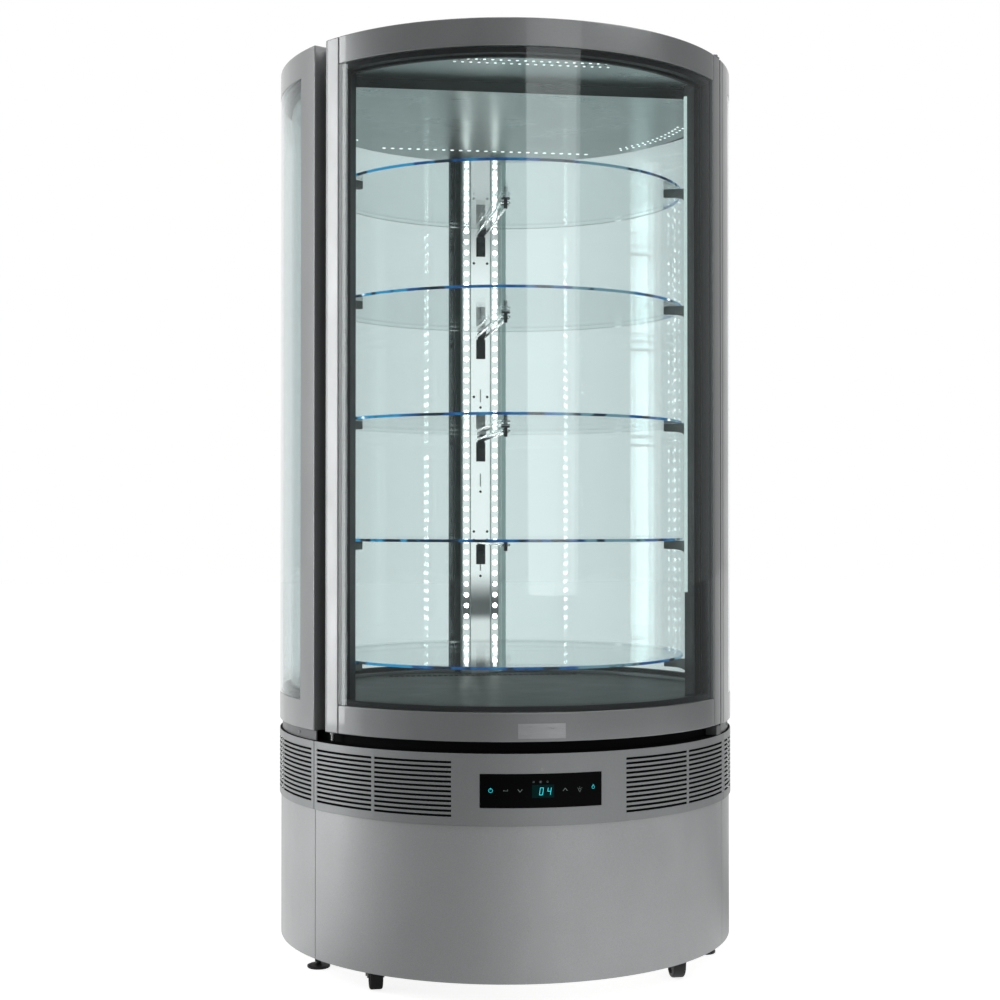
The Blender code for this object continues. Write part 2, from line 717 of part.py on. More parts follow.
def post_outline():
    """The right-hand post's section: a lip behind the door, a return to the side frame and a bevel."""
    lip = SECTOR_HALF - degrees_of(POST_LIP, SEAL_RADIUS)
    bevel = SECTOR_HALF - degrees_of(POST_LIP - POST_BEVEL, POST_INNER)
    back = SECTOR_HALF + FACET_UPPER
    step = SECTOR_HALF + SEAM_ANGLE
    front = stations(lip, step, FACET_UPPER)
    rear = stations(step, back, FACET_UPPER)
    inside = stations(bevel, back, FACET_UPPER)
    points = [polar(SEAL_RADIUS, angle) for angle in front]
    points += [polar(SIDE_FILL, angle) for angle in rear]
    return points + [polar(POST_INNER, angle) for angle in reversed(inside)]


def make_posts():
    """The two front posts, which the door closes on, each with its light strip and shelf brackets."""
    right = post_outline()
    left = [Vector((-point.x, point.y, 0)) for point in right]
    low, high = light_levels()
    for name, side, outline in (("post_right", 1, right), ("post_left", -1, left)):
        post = piece(name, DARK_METAL, slab(outline, POST_BOTTOM, POST_TOP))
        angle = side * (SECTOR_HALF + FACET_UPPER / 2)
        face = facet_radius(POST_INNER, abs(angle), FACET_UPPER)
        weld(post, radial_block(angle, face - LED_DEPTH, face + SHEET, LED_WIDTH, low, high))
        for bottom in shelf_bottoms():
            weld(post, post_bracket(side * BRACKET_ANGLE, bottom - GAP))


def make_column():
    """The rear column: a duct with a raised face plate between two light strips."""
    half = COLUMN_WIDTH / 2
    plate = COLUMN_PLATE_WIDTH / 2
    face = COLUMN_FACE + COLUMN_PLATE
    mid_radius = FRAME_INNER * math.cos(math.radians(FACET_UPPER / 2)) - GAP
    back = math.sqrt(mid_radius ** 2 - half ** 2)
    outline = [(-half, face), (-plate, face), (-plate, COLUMN_FACE), (plate, COLUMN_FACE),
               (plate, face), (half, face), (half, back), (-half, back)]
    wall = COLUMN_WALL
    duct = [(-half + wall, face + wall), (half - wall, face + wall),
            (half - wall, back - wall), (-half + wall, back - wall)]
    column = piece("rear_column", STAINLESS, slab(outline, POST_BOTTOM, POST_TOP, [duct]))
    low, high = light_levels()
    near = plate + LED_SPACE
    for side in (-1, 1):
        ends = sorted((side * near, side * (near + LED_WIDTH)))
        weld(column, block((ends[0], face - LED_DEPTH, low), (ends[1], face + SHEET / 2, high)))


def light_levels():
    """The lower and upper end of every light strip."""
    return POST_BOTTOM + LED_MARGIN, CEILING_BOTTOM - LED_MARGIN


def shelf_bottoms():
    """The underside level of each shelf, from the lowest up."""
    first = FLOOR_TOP + FIRST_SHELF
    return [first + index * SHELF_PITCH for index in range(SHELF_COUNT)]


def make_shelves():
    """The round glass shelves, each with its arm from the rear column."""
    for index, bottom in enumerate(shelf_bottoms()):
        disc = rod((0, 0, bottom), (0, 0, bottom + SHELF_GLASS), SHELF_RADIUS, SHELF_FACETS)
        piece(f"shelf_{index + 1}", CLEAR_GLASS, disc)
        make_arm(f"shelf_arm_{index + 1}", bottom - GAP)


def make_arm(name, top):
    """A shelf's arm: a hairpin of rod from the column, a pad under the shelf's centre and a rear rest."""
    height = top - PAD_HEIGHT - ARM_ROD + ARM_SINK
    start = COLUMN_FACE - GAP
    bend = [Vector((-ARM_SPREAD * math.cos(turn), -ARM_SPREAD * math.sin(turn), height))
            for turn in (math.pi * step / 4 for step in range(5))]
    route = [Vector((-ARM_SPREAD, start, height)), *bend, Vector((ARM_SPREAD, start, height))]
    arm = piece(name, CHROME, tube(route, ARM_ROD))
    half = REAR_BRACKET_WIDTH / 2
    weld(arm, rod((0, -ARM_SPREAD, top - PAD_HEIGHT), (0, -ARM_SPREAD, top), PAD_RADIUS, 8))
    weld(arm, block((-half, start - REAR_BRACKET_REACH, top - PAD_HEIGHT), (half, start, top)))


def post_bracket(angle, top):
    """A bracket on a front post, with its underside drawn up towards the tip."""
    far = facet_radius(POST_INNER, angle, FACET_UPPER) + SHEET
    near = far - BRACKET_REACH
    waist = far - BRACKET_REACH * 0.3
    outline = [(near, 0.0), (far, 0.0), (far, -BRACKET_HEIGHT), (waist, -BRACKET_HEIGHT * 0.5),
               (near, -BRACKET_TIP)]
    mesh = slab(outline, -BRACKET_WIDTH / 2, BRACKET_WIDTH / 2)
    upright = Matrix(((0, 0, 1), (-1, 0, 0), (0, 1, 0)))
    bmesh.ops.transform(mesh, verts=mesh.verts[:], matrix=upright.to_4x4())
    bmesh.ops.rotate(mesh, verts=mesh.verts[:], cent=(0, 0, 0),
                     matrix=Matrix.Rotation(math.radians(angle), 3, "Z"))
    bmesh.ops.translate(mesh, verts=mesh.verts[:], vec=(0, 0, top))
    return close_solid(mesh)


def make_side_frames():
    """Each side's curved frame, with an outer and an inner pane in its window."""
    stile = degrees_of(SIDE_STILE)
    rear = degrees_of(REAR_STILE)
    right = side_angles()
    first = right[0] + stile
    last = right[-1] - rear
    corners = sorted(set(right) | {first, last})
    levels = [UPPER_BOTTOM, UPPER_BOTTOM + BOTTOM_RAIL, UPPER_TOP - TOP_RAIL, UPPER_TOP]
    window = (first, last, levels[1], levels[2])
    space = degrees_of(GAP)
    pane = stations(first + space, last - space, FACET_UPPER)
    pane_levels = [levels[1] + GAP, levels[2] - GAP]
    mirror_window = (-last, -first, levels[1], levels[2])
    outer = BODY_RADIUS - PANE_SET
    inner = FRAME_INNER + PANE_SET
    for side, angles, glass, cut in (("right", corners, pane, window),
                                     ("left", mirrored(corners), mirrored(pane), mirror_window)):
        frame = shell(angles, levels, BODY_RADIUS, FRAME_INNER, [cut])
        piece(f"side_frame_{side}", STEEL_GREY, frame)
        piece(f"side_outer_glass_{side}", CLEAR_GLASS,
              shell(glass, pane_levels, outer, outer - OUTER_PANE))
        piece(f"side_inner_glass_{side}", CLEAR_GLASS,
              shell(glass, pane_levels, inner + INNER_PANE, inner))


def hinge_bore(low, high):
    """The round hole for a hinge pin, in the door's stile."""
    place = polar(PIVOT_RADIUS, PIVOT_ANGLE)
    radius = (PIN_RADIUS + RUNNING_GAP) / math.cos(math.pi / 12)
    return rod((place.x, place.y, low), (place.x, place.y, high), radius, 12)


def make_door():
    """The curved door: two stiles, two rails, two panes and a gasket, hung at its right end."""
    place = polar(PIVOT_RADIUS, PIVOT_ANGLE)
    joint = pivot("door_pivot", place)
    space = degrees_of(GAP)
    left = DOOR_LEFT + STILE_ANGLE
    right = DOOR_RIGHT - STILE_ANGLE
    full = [DOOR_BOTTOM, DOOR_TOP]
    low = [DOOR_BOTTOM, UPPER_BOTTOM + BOTTOM_RAIL]
    high = [DOOR_TOP - TOP_RAIL, DOOR_TOP]
    between = stations(left + space, right - space, FACET_UPPER)
    latch = shell(stations(DOOR_LEFT, left, FACET_UPPER), full, BODY_RADIUS, FRAME_INNER)
    hinge = shell(stations(right, DOOR_RIGHT, FACET_UPPER), full, BODY_RADIUS, FRAME_INNER)
    hinge_stile = piece("door_hinge_stile", STEEL_GREY, hinge)
    depth = PIN_LENGTH + DOOR_CLEARANCE
    carve(hinge_stile, hinge_bore(DOOR_BOTTOM - depth, DOOR_BOTTOM + depth))
    carve(hinge_stile, hinge_bore(DOOR_TOP - depth, DOOR_TOP + depth))
    panes = [low[1] + GAP, high[0] - GAP]
    outer = BODY_RADIUS - PANE_SET
    inner = FRAME_INNER + PANE_SET
    parts = [
        hinge_stile,
        piece("door_latch_stile", STEEL_GREY, latch),
        piece("door_bottom_rail", STEEL_GREY, shell(between, low, BODY_RADIUS, FRAME_INNER)),
        piece("door_top_rail", STEEL_GREY, shell(between, high, BODY_RADIUS, FRAME_INNER)),
        piece("door_outer_glass", CLEAR_GLASS, shell(between, panes, outer, outer - OUTER_PANE)),
        piece("door_inner_glass", CLEAR_GLASS, shell(between, panes, inner + INNER_PANE, inner)),
        piece("door_gasket", BLACK_RUBBER, gasket_shape()),
    ]
    hang(parts, joint, place)


def gasket_shape():
    """The door's seal: a curved frame on the door's back that closes on posts, deck and roof."""
    side = degrees_of(GASKET_WIDTH, GASKET_OUTER) * 0.8
    inside = (GASKET_LEFT + side, GASKET_RIGHT - side)
    corners = sorted(set(stations(GASKET_LEFT, GASKET_RIGHT, FACET_UPPER)) | set(inside))
    low = DOOR_BOTTOM + GASKET_BOTTOM
    high = DOOR_TOP - GASKET_TOP
    levels = [low, low + GASKET_WIDTH, high - GASKET_WIDTH, high]
    return shell(corners, levels, GASKET_OUTER, GASKET_INNER, [(*inside, levels[1], levels[2])])


def make_hinges():
    """The fixed halves of the door's hinge: a plate on the roof and a block on the ring, with pins."""
    place = polar(PIVOT_RADIUS, PIVOT_ANGLE)
    under = DOOR_BOTTOM + PIN_LENGTH
    over = DOOR_TOP - PIN_LENGTH
    front = PIVOT_RADIUS + HINGE_CAP_RADIUS
    plate_low = UPPER_TOP + GAP
    plate_high = plate_low + HINGE_PLATE
    cap_top = plate_high + HINGE_CAP
    top = radial_block(PIVOT_ANGLE, front - HINGE_REACH, front, 2 * HINGE_HALF_WIDTH, plate_low, plate_high)
    bottom = radial_block(PIVOT_ANGLE, DOOR_NECK + GAP, front, 2 * HINGE_HALF_WIDTH,
                          FLANGE_TOP + GAP, RING_TOP - GAP)
    bracket = piece("hinge_top", STEEL_GREY, top)
    lower = piece("hinge_bottom", STEEL_GREY, bottom)
    weld(bracket, rod((place.x, place.y, plate_high - SHEET / 2), (place.x, place.y, cap_top),
                      HINGE_CAP_RADIUS, 12))
    weld(bracket, rod((place.x, place.y, over), (place.x, place.y, plate_low + SHEET / 2), PIN_RADIUS, 12))
    weld(lower, rod((place.x, place.y, RING_TOP - SHEET), (place.x, place.y, under), PIN_RADIUS, 12))


def castor_places():
    """The swivel axis of each castor, with its name."""
    angles = (("front_left", -CASTOR_ANGLE), ("front_right", CASTOR_ANGLE),
              ("rear_left", CASTOR_ANGLE - 180.0), ("rear_right", 180.0 - CASTOR_ANGLE))
    return [(name, *polar(CASTOR_PLACE, angle).xy) for name, angle in angles]


def foot_places():
    """The place of each levelling foot, with its name."""
    return [("left", polar(FOOT_PLACE, -FOOT_ANGLE)), ("right", polar(FOOT_PLACE, FOOT_ANGLE))]


def make_base():
    """The base frame: a plate with a turned-up rim and holes, and three uprights welded on it."""
    inside = PLATE_RADIUS - RIM_WALL
    profile = [(0, PLATE_BOTTOM), (PLATE_RADIUS, PLATE_BOTTOM), (PLATE_RADIUS, PLATE_BOTTOM + PLATE_RIM),
               (inside, PLATE_BOTTOM + PLATE_RIM), (inside, PLATE_TOP), (0, PLATE_TOP)]
    plate = piece("base_frame", ZINC, turned(profile, round(360 / FACET_LOWER), closed=False))
    low = PLATE_BOTTOM - PLATE_THICKNESS
    high = PLATE_TOP + PLATE_THICKNESS
    around = 1 / math.cos(math.pi / 8)
    for _, x, y in castor_places():
        carve(plate, rod((x, y, low), (x, y, high), (STEM_RADIUS + RUNNING_GAP) * around, 8))
    for _, place in foot_places():
        carve(plate, rod((place.x, place.y, low), (place.x, place.y, high),
                         (FOOT_STEM_RADIUS + RUNNING_GAP) * around, 8))
    carve(plate, rod((0, GLAND_PLACE, low), (0, GLAND_PLACE, high), (GLAND_RADIUS + GAP) * around, 8))
    far = PLATE_RADIUS - RIM_WALL - UPRIGHT_DEPTH / 2
    for angle in (-SECTOR_HALF, SECTOR_HALF, 180.0):
        weld(plate, radial_block(angle, far - UPRIGHT_DEPTH, far, UPRIGHT_WIDTH,
                                 PLATE_TOP - PLATE_THICKNESS / 2, UPRIGHT_TOP))


def make_gland():
    """The grommet in the base plate where the supply lead would come in."""
    low = PLATE_BOTTOM - GAP
    high = PLATE_TOP + GAP
    lip = SHEET
    profile = [(GLAND_BORE, low - lip), (GLAND_FLANGE, low - lip), (GLAND_FLANGE, low),
               (GLAND_RADIUS, low), (GLAND_RADIUS, high), (GLAND_FLANGE, high),
               (GLAND_FLANGE, high + lip), (GLAND_BORE, high + lip)]
    gland = piece("cord_gland", BLACK_RUBBER, turned(profile, 8))
    gland.location = (0, GLAND_PLACE, 0)
    gland.rotation_euler.z = math.pi / 8


def fork_shape():
    """A castor's fork: a bent sheet bridge over the wheel, in the swivel's own frame."""
    outside = WHEEL_WIDTH / 2 + FORK_SIDE_GAP + FORK_SHEET
    inside = outside - FORK_SHEET
    bridge_low = 2 * WHEEL_RADIUS + FORK_CLEARANCE
    bridge_high = bridge_low + FORK_SHEET
    low = WHEEL_RADIUS * 0.75
    outline = [(-outside, low), (-outside, bridge_high), (outside, bridge_high), (outside, low),
               (inside, low), (inside, bridge_low), (-inside, bridge_low), (-inside, low)]
    mesh = slab(outline, -FORK_AHEAD, FORK_BEHIND)
    upright = Matrix(((1, 0, 0), (0, 0, -1), (0, 1, 0)))
    bmesh.ops.transform(mesh, verts=mesh.verts[:], matrix=upright.to_4x4())
    return close_solid(mesh)


def make_castor(name, x, y):
    """One swivel castor: its fork, head and stem, and its wheel on an axle."""
    swivel = pivot(f"castor_swivel_{name}", (x, y, 0))
    fork = piece(f"castor_fork_{name}", ZINC, fork_shape())
    bridge = 2 * WHEEL_RADIUS + FORK_CLEARANCE
    head_top = bridge + FORK_SHEET + HEAD_HEIGHT
    weld(fork, rod((0, 0, bridge + FORK_SHEET / 2), (0, 0, head_top), HEAD_RADIUS, 12))
    weld(fork, rod((0, 0, head_top - SHEET), (0, 0, PLATE_BOTTOM + STEM_ABOVE), STEM_RADIUS, 8))
    reach = WHEEL_WIDTH / 2 + FORK_SIDE_GAP + FORK_SHEET
    weld(fork, rod((-reach, -CASTOR_TRAIL, WHEEL_RADIUS), (reach, -CASTOR_TRAIL, WHEEL_RADIUS),
                   AXLE_RADIUS, 8))
    fork.parent = swivel
    axle = pivot(f"castor_axle_{name}", (x, y - CASTOR_TRAIL, WHEEL_RADIUS), swivel)
    half = WHEEL_WIDTH / 2
    facet = math.pi / WHEEL_FACETS
    bore = (AXLE_RADIUS + RUNNING_GAP) / math.cos(facet)
    tread = WHEEL_RADIUS / math.cos(facet)
    profile = [(bore, -half), (tread - SHEET, -half), (tread, -half + SHEET),
               (tread, half - SHEET), (tread - SHEET, half), (bore, half)]
    wheel = piece(f"castor_wheel_{name}", BLACK_RUBBER, turned(profile, WHEEL_FACETS))
    wheel.parent = axle
    wheel.rotation_euler = (facet, math.pi / 2, 0)
    wheel.rotation_mode = "ZYX"


def make_feet():
    """The two levelling feet: a disc on the floor and a threaded stem through the base plate."""
    for name, place in foot_places():
        stem_top = PLATE_TOP + STEM_ABOVE
        profile = [(0, 0), (FOOT_RADIUS, 0), (FOOT_RADIUS, FOOT_HEIGHT / 2), (FOOT_STEM_RADIUS, FOOT_HEIGHT),
                   (FOOT_STEM_RADIUS, stem_top), (0, stem_top)]
        foot = piece(f"levelling_foot_{name}", BLACK_RUBBER, turned(profile, 16, closed=False))
        slide = pivot(f"foot_slide_{name}", place)
        foot.parent = slide


def make_coil(name, low, high):
    """A finned coil between its two end sheets, which stand a little proud of the fins."""
    lip = COIL_LIP
    half = COIL_SHEET / 2
    coil = piece(name, ALUMINIUM, block((low[0] + half, low[1] + lip, low[2] + lip),
                                        (high[0] - half, high[1] - lip, high[2] - lip)))
    weld(coil, block(low, (low[0] + COIL_SHEET, high[1], high[2])))
    weld(coil, block((high[0] - COIL_SHEET, low[1], low[2]), high))
    return coil


def fan_wheel(name, radius, depth, blades, centre):
    """A bladed fan wheel on a hub with a bore, turning about Y."""
    joint = pivot(f"{name}_axis", centre)
    half = depth / 2
    bore = (FAN_SHAFT + RUNNING_GAP) / math.cos(math.pi / 12)
    profile = [(bore, -half), (FAN_HUB, -half), (FAN_HUB, half), (bore, half)]
    wheel = piece(name, BLACK_PLASTIC, turned(profile, 12))
    pitch = math.radians(FAN_PITCH)
    for index in range(blades):
        reach = depth * BLADE_SHARE / math.sin(pitch) / 2
        blade = block((FAN_HUB - BLADE_SINK, -reach, -FAN_BLADE / 2), (radius, reach, FAN_BLADE / 2))
        bmesh.ops.rotate(blade, verts=blade.verts[:], cent=(0, 0, 0), matrix=Matrix.Rotation(pitch, 3, "X"))
        bmesh.ops.rotate(blade, verts=blade.verts[:], cent=(0, 0, 0),
                         matrix=Matrix.Rotation(math.tau * index / blades, 3, "Z"))
        weld(wheel, blade)
    wheel.parent = joint
    wheel.rotation_euler.x = math.pi / 2


def fan_mount(name, finish, centre, radius, depth, half_width, low, high, motor_radius, motor_length):
    """A fan's sheet with its round opening, a bracket behind it and the motor with its shaft."""
    x, y, z = centre
    hole = ring_points((0, 0), radius + SHROUD_GAP, 16)
    outline = [(-half_width, low - z), (half_width, low - z),
               (half_width, high - z), (-half_width, high - z)]
    sheet = slab(outline, -SHROUD_SHEET / 2, SHROUD_SHEET / 2, [hole])
    upright = Matrix(((1, 0, 0), (0, 0, -1), (0, 1, 0)))
    bmesh.ops.transform(sheet, verts=sheet.verts[:], matrix=upright.to_4x4())
    bmesh.ops.translate(sheet, verts=sheet.verts[:], vec=centre)
    mount = piece(name, finish, close_solid(sheet))
    reach = radius + SHROUD_GAP + ARM_HEIGHT
    near = y
    far = y + depth / 2 + SHROUD_GAP
    wall = SHROUD_SHEET
    bracket = [(x - reach, near), (x - reach, far + wall), (x + reach, far + wall), (x + reach, near),
               (x + reach - wall, near), (x + reach - wall, far), (x - reach + wall, far),
               (x - reach + wall, near)]
    weld(mount, slab(bracket, z - ARM_HEIGHT / 2, z + ARM_HEIGHT / 2))
    weld(mount, rod((x, far + wall / 2, z), (x, far + motor_length, z), motor_radius, 12))
    weld(mount, rod((x, y - depth / 2, z), (x, far + wall, z), FAN_SHAFT, 12))


def make_condensing_unit():
    """The condenser, its fan and the compressor, on the base plate."""
    low = UNIT_BOTTOM
    half = CONDENSER_WIDTH / 2
    top = low + CONDENSER_HEIGHT
    back = CONDENSER_FRONT + CONDENSER_DEPTH
    condenser = make_coil("condenser", (CONDENSER_X - half, CONDENSER_FRONT, low),
                          (CONDENSER_X + half, back, top))
    weld(condenser, *condenser_lines())
    fan_y = back + SHROUD_GAP + CONDENSER_FAN_DEPTH / 2
    centre = Vector((CONDENSER_X, fan_y, (low + top) / 2))
    fan_mount("condenser_fan_motor", DARK_METAL, centre, CONDENSER_FAN_RADIUS, CONDENSER_FAN_DEPTH,
              half, low, top, MOTOR_RADIUS, MOTOR_LENGTH)
    fan_wheel("condenser_fan", CONDENSER_FAN_RADIUS, CONDENSER_FAN_DEPTH, CONDENSER_BLADES, centre)
    make_compressor()


def make_compressor():
    """The compressor's pot on its foot plate and four rubber-footed legs."""
    radius = COMPRESSOR_RADIUS
    foot_low = COMPRESSOR_LEG
    pot_low = foot_low + SHEET / 2
    top = pot_low + COMPRESSOR_HEIGHT
    belt = pot_low + COMPRESSOR_HEIGHT * 0.5
    profile = [(0, pot_low), (radius * 0.8, pot_low), (radius * COMPRESSOR_WAIST, pot_low + radius * 0.3),
               (radius * COMPRESSOR_WAIST, belt), (radius, belt + SHEET), (radius, belt + SHEET * 3),
               (radius * 0.94, top - radius * 0.4), (radius * 0.6, top - radius * 0.1), (0, top)]
    pot = piece("compressor", BLACK_PLASTIC, turned(profile, 16, closed=False))
    half = COMPRESSOR_FOOT / 2
    weld(pot, block((-half, -half, foot_low), (half, half, foot_low + SHEET)))
    leg = half - COMPRESSOR_LEG
    for x in (-leg, leg):
        for y in (-leg, leg):
            weld(pot, rod((x, y, 0), (x, y, foot_low + SHEET / 2), COMPRESSOR_LEG / 2, 8))
    weld(pot, suction_line())
    pot.location = (*COMPRESSOR_PLACE, UNIT_BOTTOM)


def make_evaporator():
    """The evaporator coil in the deck's tub, with its fan behind it."""
    floor = UPPER_BOTTOM - TUB_DEPTH + TUB_WALL + GAP
    half = EVAPORATOR_WIDTH / 2
    back = EVAPORATOR_FRONT + EVAPORATOR_DEPTH
    top = floor + EVAPORATOR_HEIGHT
    make_coil("evaporator_coil", (-half, EVAPORATOR_FRONT, floor), (half, back, top))
    fan_y = back + SHROUD_GAP + EVAPORATOR_FAN_DEPTH / 2
    centre = Vector((0, fan_y, floor + EVAPORATOR_HEIGHT / 2))
    low = floor
    fan_mount("evaporator_fan_motor", DARK_METAL, centre, EVAPORATOR_FAN_RADIUS,
              EVAPORATOR_FAN_DEPTH, half, low, top, EVAPORATOR_MOTOR_RADIUS, EVAPORATOR_MOTOR_LENGTH)
    fan_wheel("evaporator_fan", EVAPORATOR_FAN_RADIUS, EVAPORATOR_FAN_DEPTH,
              EVAPORATOR_BLADES, centre)


def condenser_lines():
    """The condenser's copper lines: from the compressor's side, and up to the evaporator's tub."""
    x, y = COMPRESSOR_PLACE
    low = UNIT_BOTTOM + COMPRESSOR_HEIGHT * 0.45
    high = UNIT_BOTTOM + CONDENSER_HEIGHT * 0.8
    bend = TUBE_RADIUS * 4
    end_x = CONDENSER_X + CONDENSER_WIDTH / 2 - COIL_SHEET / 2
    out_x = end_x + bend * 3
    middle = CONDENSER_FRONT + CONDENSER_DEPTH / 2
    pot_side = y - COMPRESSOR_RADIUS * COMPRESSOR_WAIST - GAP
    inside = TUB_FRONT + bend * 2
    tub = UPPER_BOTTOM - TUB_DEPTH - GAP
    discharge = rounded([(x, pot_side, low), (x, middle, low), (end_x, middle, low)], bend)
    liquid = rounded([(end_x, middle, high), (out_x, middle, high), (out_x, inside, high),
                      (out_x, inside, tub)], bend)
    return tube(discharge, TUBE_RADIUS), tube(liquid, TUBE_RADIUS)


def suction_line():
    """The compressor's suction line up to the evaporator's tub, in the compressor's own frame."""
    low = COMPRESSOR_HEIGHT * 0.45
    bend = TUBE_RADIUS * 4
    far = -COMPRESSOR_RADIUS - bend * 2
    tub = UPPER_BOTTOM - TUB_DEPTH - GAP - UNIT_BOTTOM
    start = -COMPRESSOR_RADIUS * 0.8
    return tube(rounded([(start, 0, low), (far, 0, low), (far, 0, tub)], bend), TUBE_RADIUS)


def main():
    """Build the cabinet from the floor up."""
    clear_scene()
    make_base()
    make_gland()
    for name, x, y in castor_places():
        make_castor(name, x, y)
    make_feet()
    make_condensing_unit()
    make_evaporator()
    make_skirts()
    make_grilles()
    make_control_panel()
    make_ring()
    make_deck()
    make_posts()
    make_column()
    make_shelves()
    make_side_frames()
    make_door()
    make_hinges()
    make_roof()
    make_ceiling()


main()
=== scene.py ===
"""Looks of the round refrigerated display cabinet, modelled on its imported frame.

Metres, +Z up. Angles are in degrees from the front (-Y), growing towards +X.
"""
from __future__ import annotations

import logging
import math
from collections.abc import Callable, Iterable, Sequence
from dataclasses import dataclass, field
from enum import Enum

import bmesh
import bpy
from mathutils import Matrix, Vector


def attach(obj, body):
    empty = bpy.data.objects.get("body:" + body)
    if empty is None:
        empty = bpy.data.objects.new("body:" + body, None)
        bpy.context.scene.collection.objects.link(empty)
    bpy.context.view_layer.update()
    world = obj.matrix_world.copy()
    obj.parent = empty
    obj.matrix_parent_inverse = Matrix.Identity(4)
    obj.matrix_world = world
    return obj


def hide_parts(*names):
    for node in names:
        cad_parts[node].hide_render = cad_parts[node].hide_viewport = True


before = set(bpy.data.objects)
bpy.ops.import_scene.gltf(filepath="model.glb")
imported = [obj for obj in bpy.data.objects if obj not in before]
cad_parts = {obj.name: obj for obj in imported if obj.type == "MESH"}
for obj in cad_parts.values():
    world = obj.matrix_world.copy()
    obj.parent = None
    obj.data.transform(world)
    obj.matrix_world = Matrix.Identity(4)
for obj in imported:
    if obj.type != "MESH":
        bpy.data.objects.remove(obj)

logging.basicConfig(level=logging.INFO, format="%(message)s")
LOG = logging.getLogger("cabinet")
ORIGIN = (0.0, 0.0, 0.0)
FULL_TURN = 360.0
# Slack when facets are counted, and how near two corners are the same one.
ROUNDING, DOUBLED = 0.001, 0.00002
# Edges sharper than the first are bevelled, faces up to the second are shaded smooth.
SHARP, SMOOTH = 35.0, 30.0
# The colour sockets of a Mix node: its two inputs, and its output.
MIX_LOW, MIX_HIGH, MIX_RESULT = 6, 7, 2

Piece = bpy.types.Object
Pair = tuple[float, float]
Triple = tuple[float, float, float]


class Side(Enum):
    """The two hands of the cabinet, seen from the front."""

    LEFT = -1
    RIGHT = 1

    @property
    def word(self) -> str:
        """The side's name, as the frame's nodes spell it."""
        return self.name.lower()

    def span(self, first: float, last: float) -> Pair:
        """A stretch of right-hand angles, on this side."""
        return (first, last) if self is Side.RIGHT else (-last, -first)


class Outline(Enum):
    """How a traced run of corners is closed."""

    LINE = "line"
    LOOP = "loop"
    FACE = "face"


@dataclass(frozen=True)
class Sizes:
    """The cabinet's radii, levels and angles, as the frame has them."""

    body: float = 0.465
    face: float = 0.4647
    frame_inner: float = 0.437
    skirt: float = 0.4615
    skirt_inner: float = 0.4595
    band_inner: float = 0.463
    flange: float = 0.4627
    side_neck: float = 0.459
    door_neck: float = 0.440
    gasket_outer: float = 0.4365
    gasket_inner: float = 0.4265
    seal: float = 0.426
    post_inner: float = 0.400
    side_fill: float = 0.4367
    shelf: float = 0.368
    column_face: float = 0.395
    skirt_bottom: float = 0.041
    skirt_top: float = 0.326
    band_bottom: float = 0.3263
    band_top: float = 0.4563
    ring_top: float = 0.4753
    upper_bottom: float = 0.4756
    door_bottom: float = 0.4771
    rail_top: float = 0.5306
    floor: float = 0.5241
    shelf_rise: float = 0.0745
    shelf_pitch: float = 0.238
    shelf_count: int = 5
    post_bottom: float = 0.5244
    post_top: float = 1.7378
    ceiling: float = 1.7159
    roof_bottom: float = 1.7381
    head_bottom: float = 1.7386
    top: float = 1.7906
    seam: float = 0.0924
    door_left: float = -55.564
    door_right: float = 57.782
    stile: float = 4.8054
    sector: float = 60.0
    back: float = 180.0

    def turn(self, length: float, radius: float = body) -> float:
        """The angle that a length takes up along an arc."""
        return math.degrees(length / radius)

    def shelves(self) -> list[float]:
        """The underside level of each shelf, from the lowest up."""
        return [self.floor + self.shelf_rise + index * self.shelf_pitch for index in range(self.shelf_count)]


SIZES = Sizes()


def polar(radius: float, angle: float, height: float = 0.0) -> Vector:
    """A point on the cabinet's circle."""
    turn = math.radians(angle)
    return Vector((radius * math.sin(turn), -radius * math.cos(turn), height))


def bearing(point: Vector) -> float:
    """The angle at which a point stands round the cabinet."""
    return math.degrees(math.atan2(point.x, -point.y))


def turned(angle: float) -> Matrix:
    """The turn about the cabinet's axis that brings the front to an angle."""
    return Matrix.Rotation(math.radians(angle), 4, "Z")


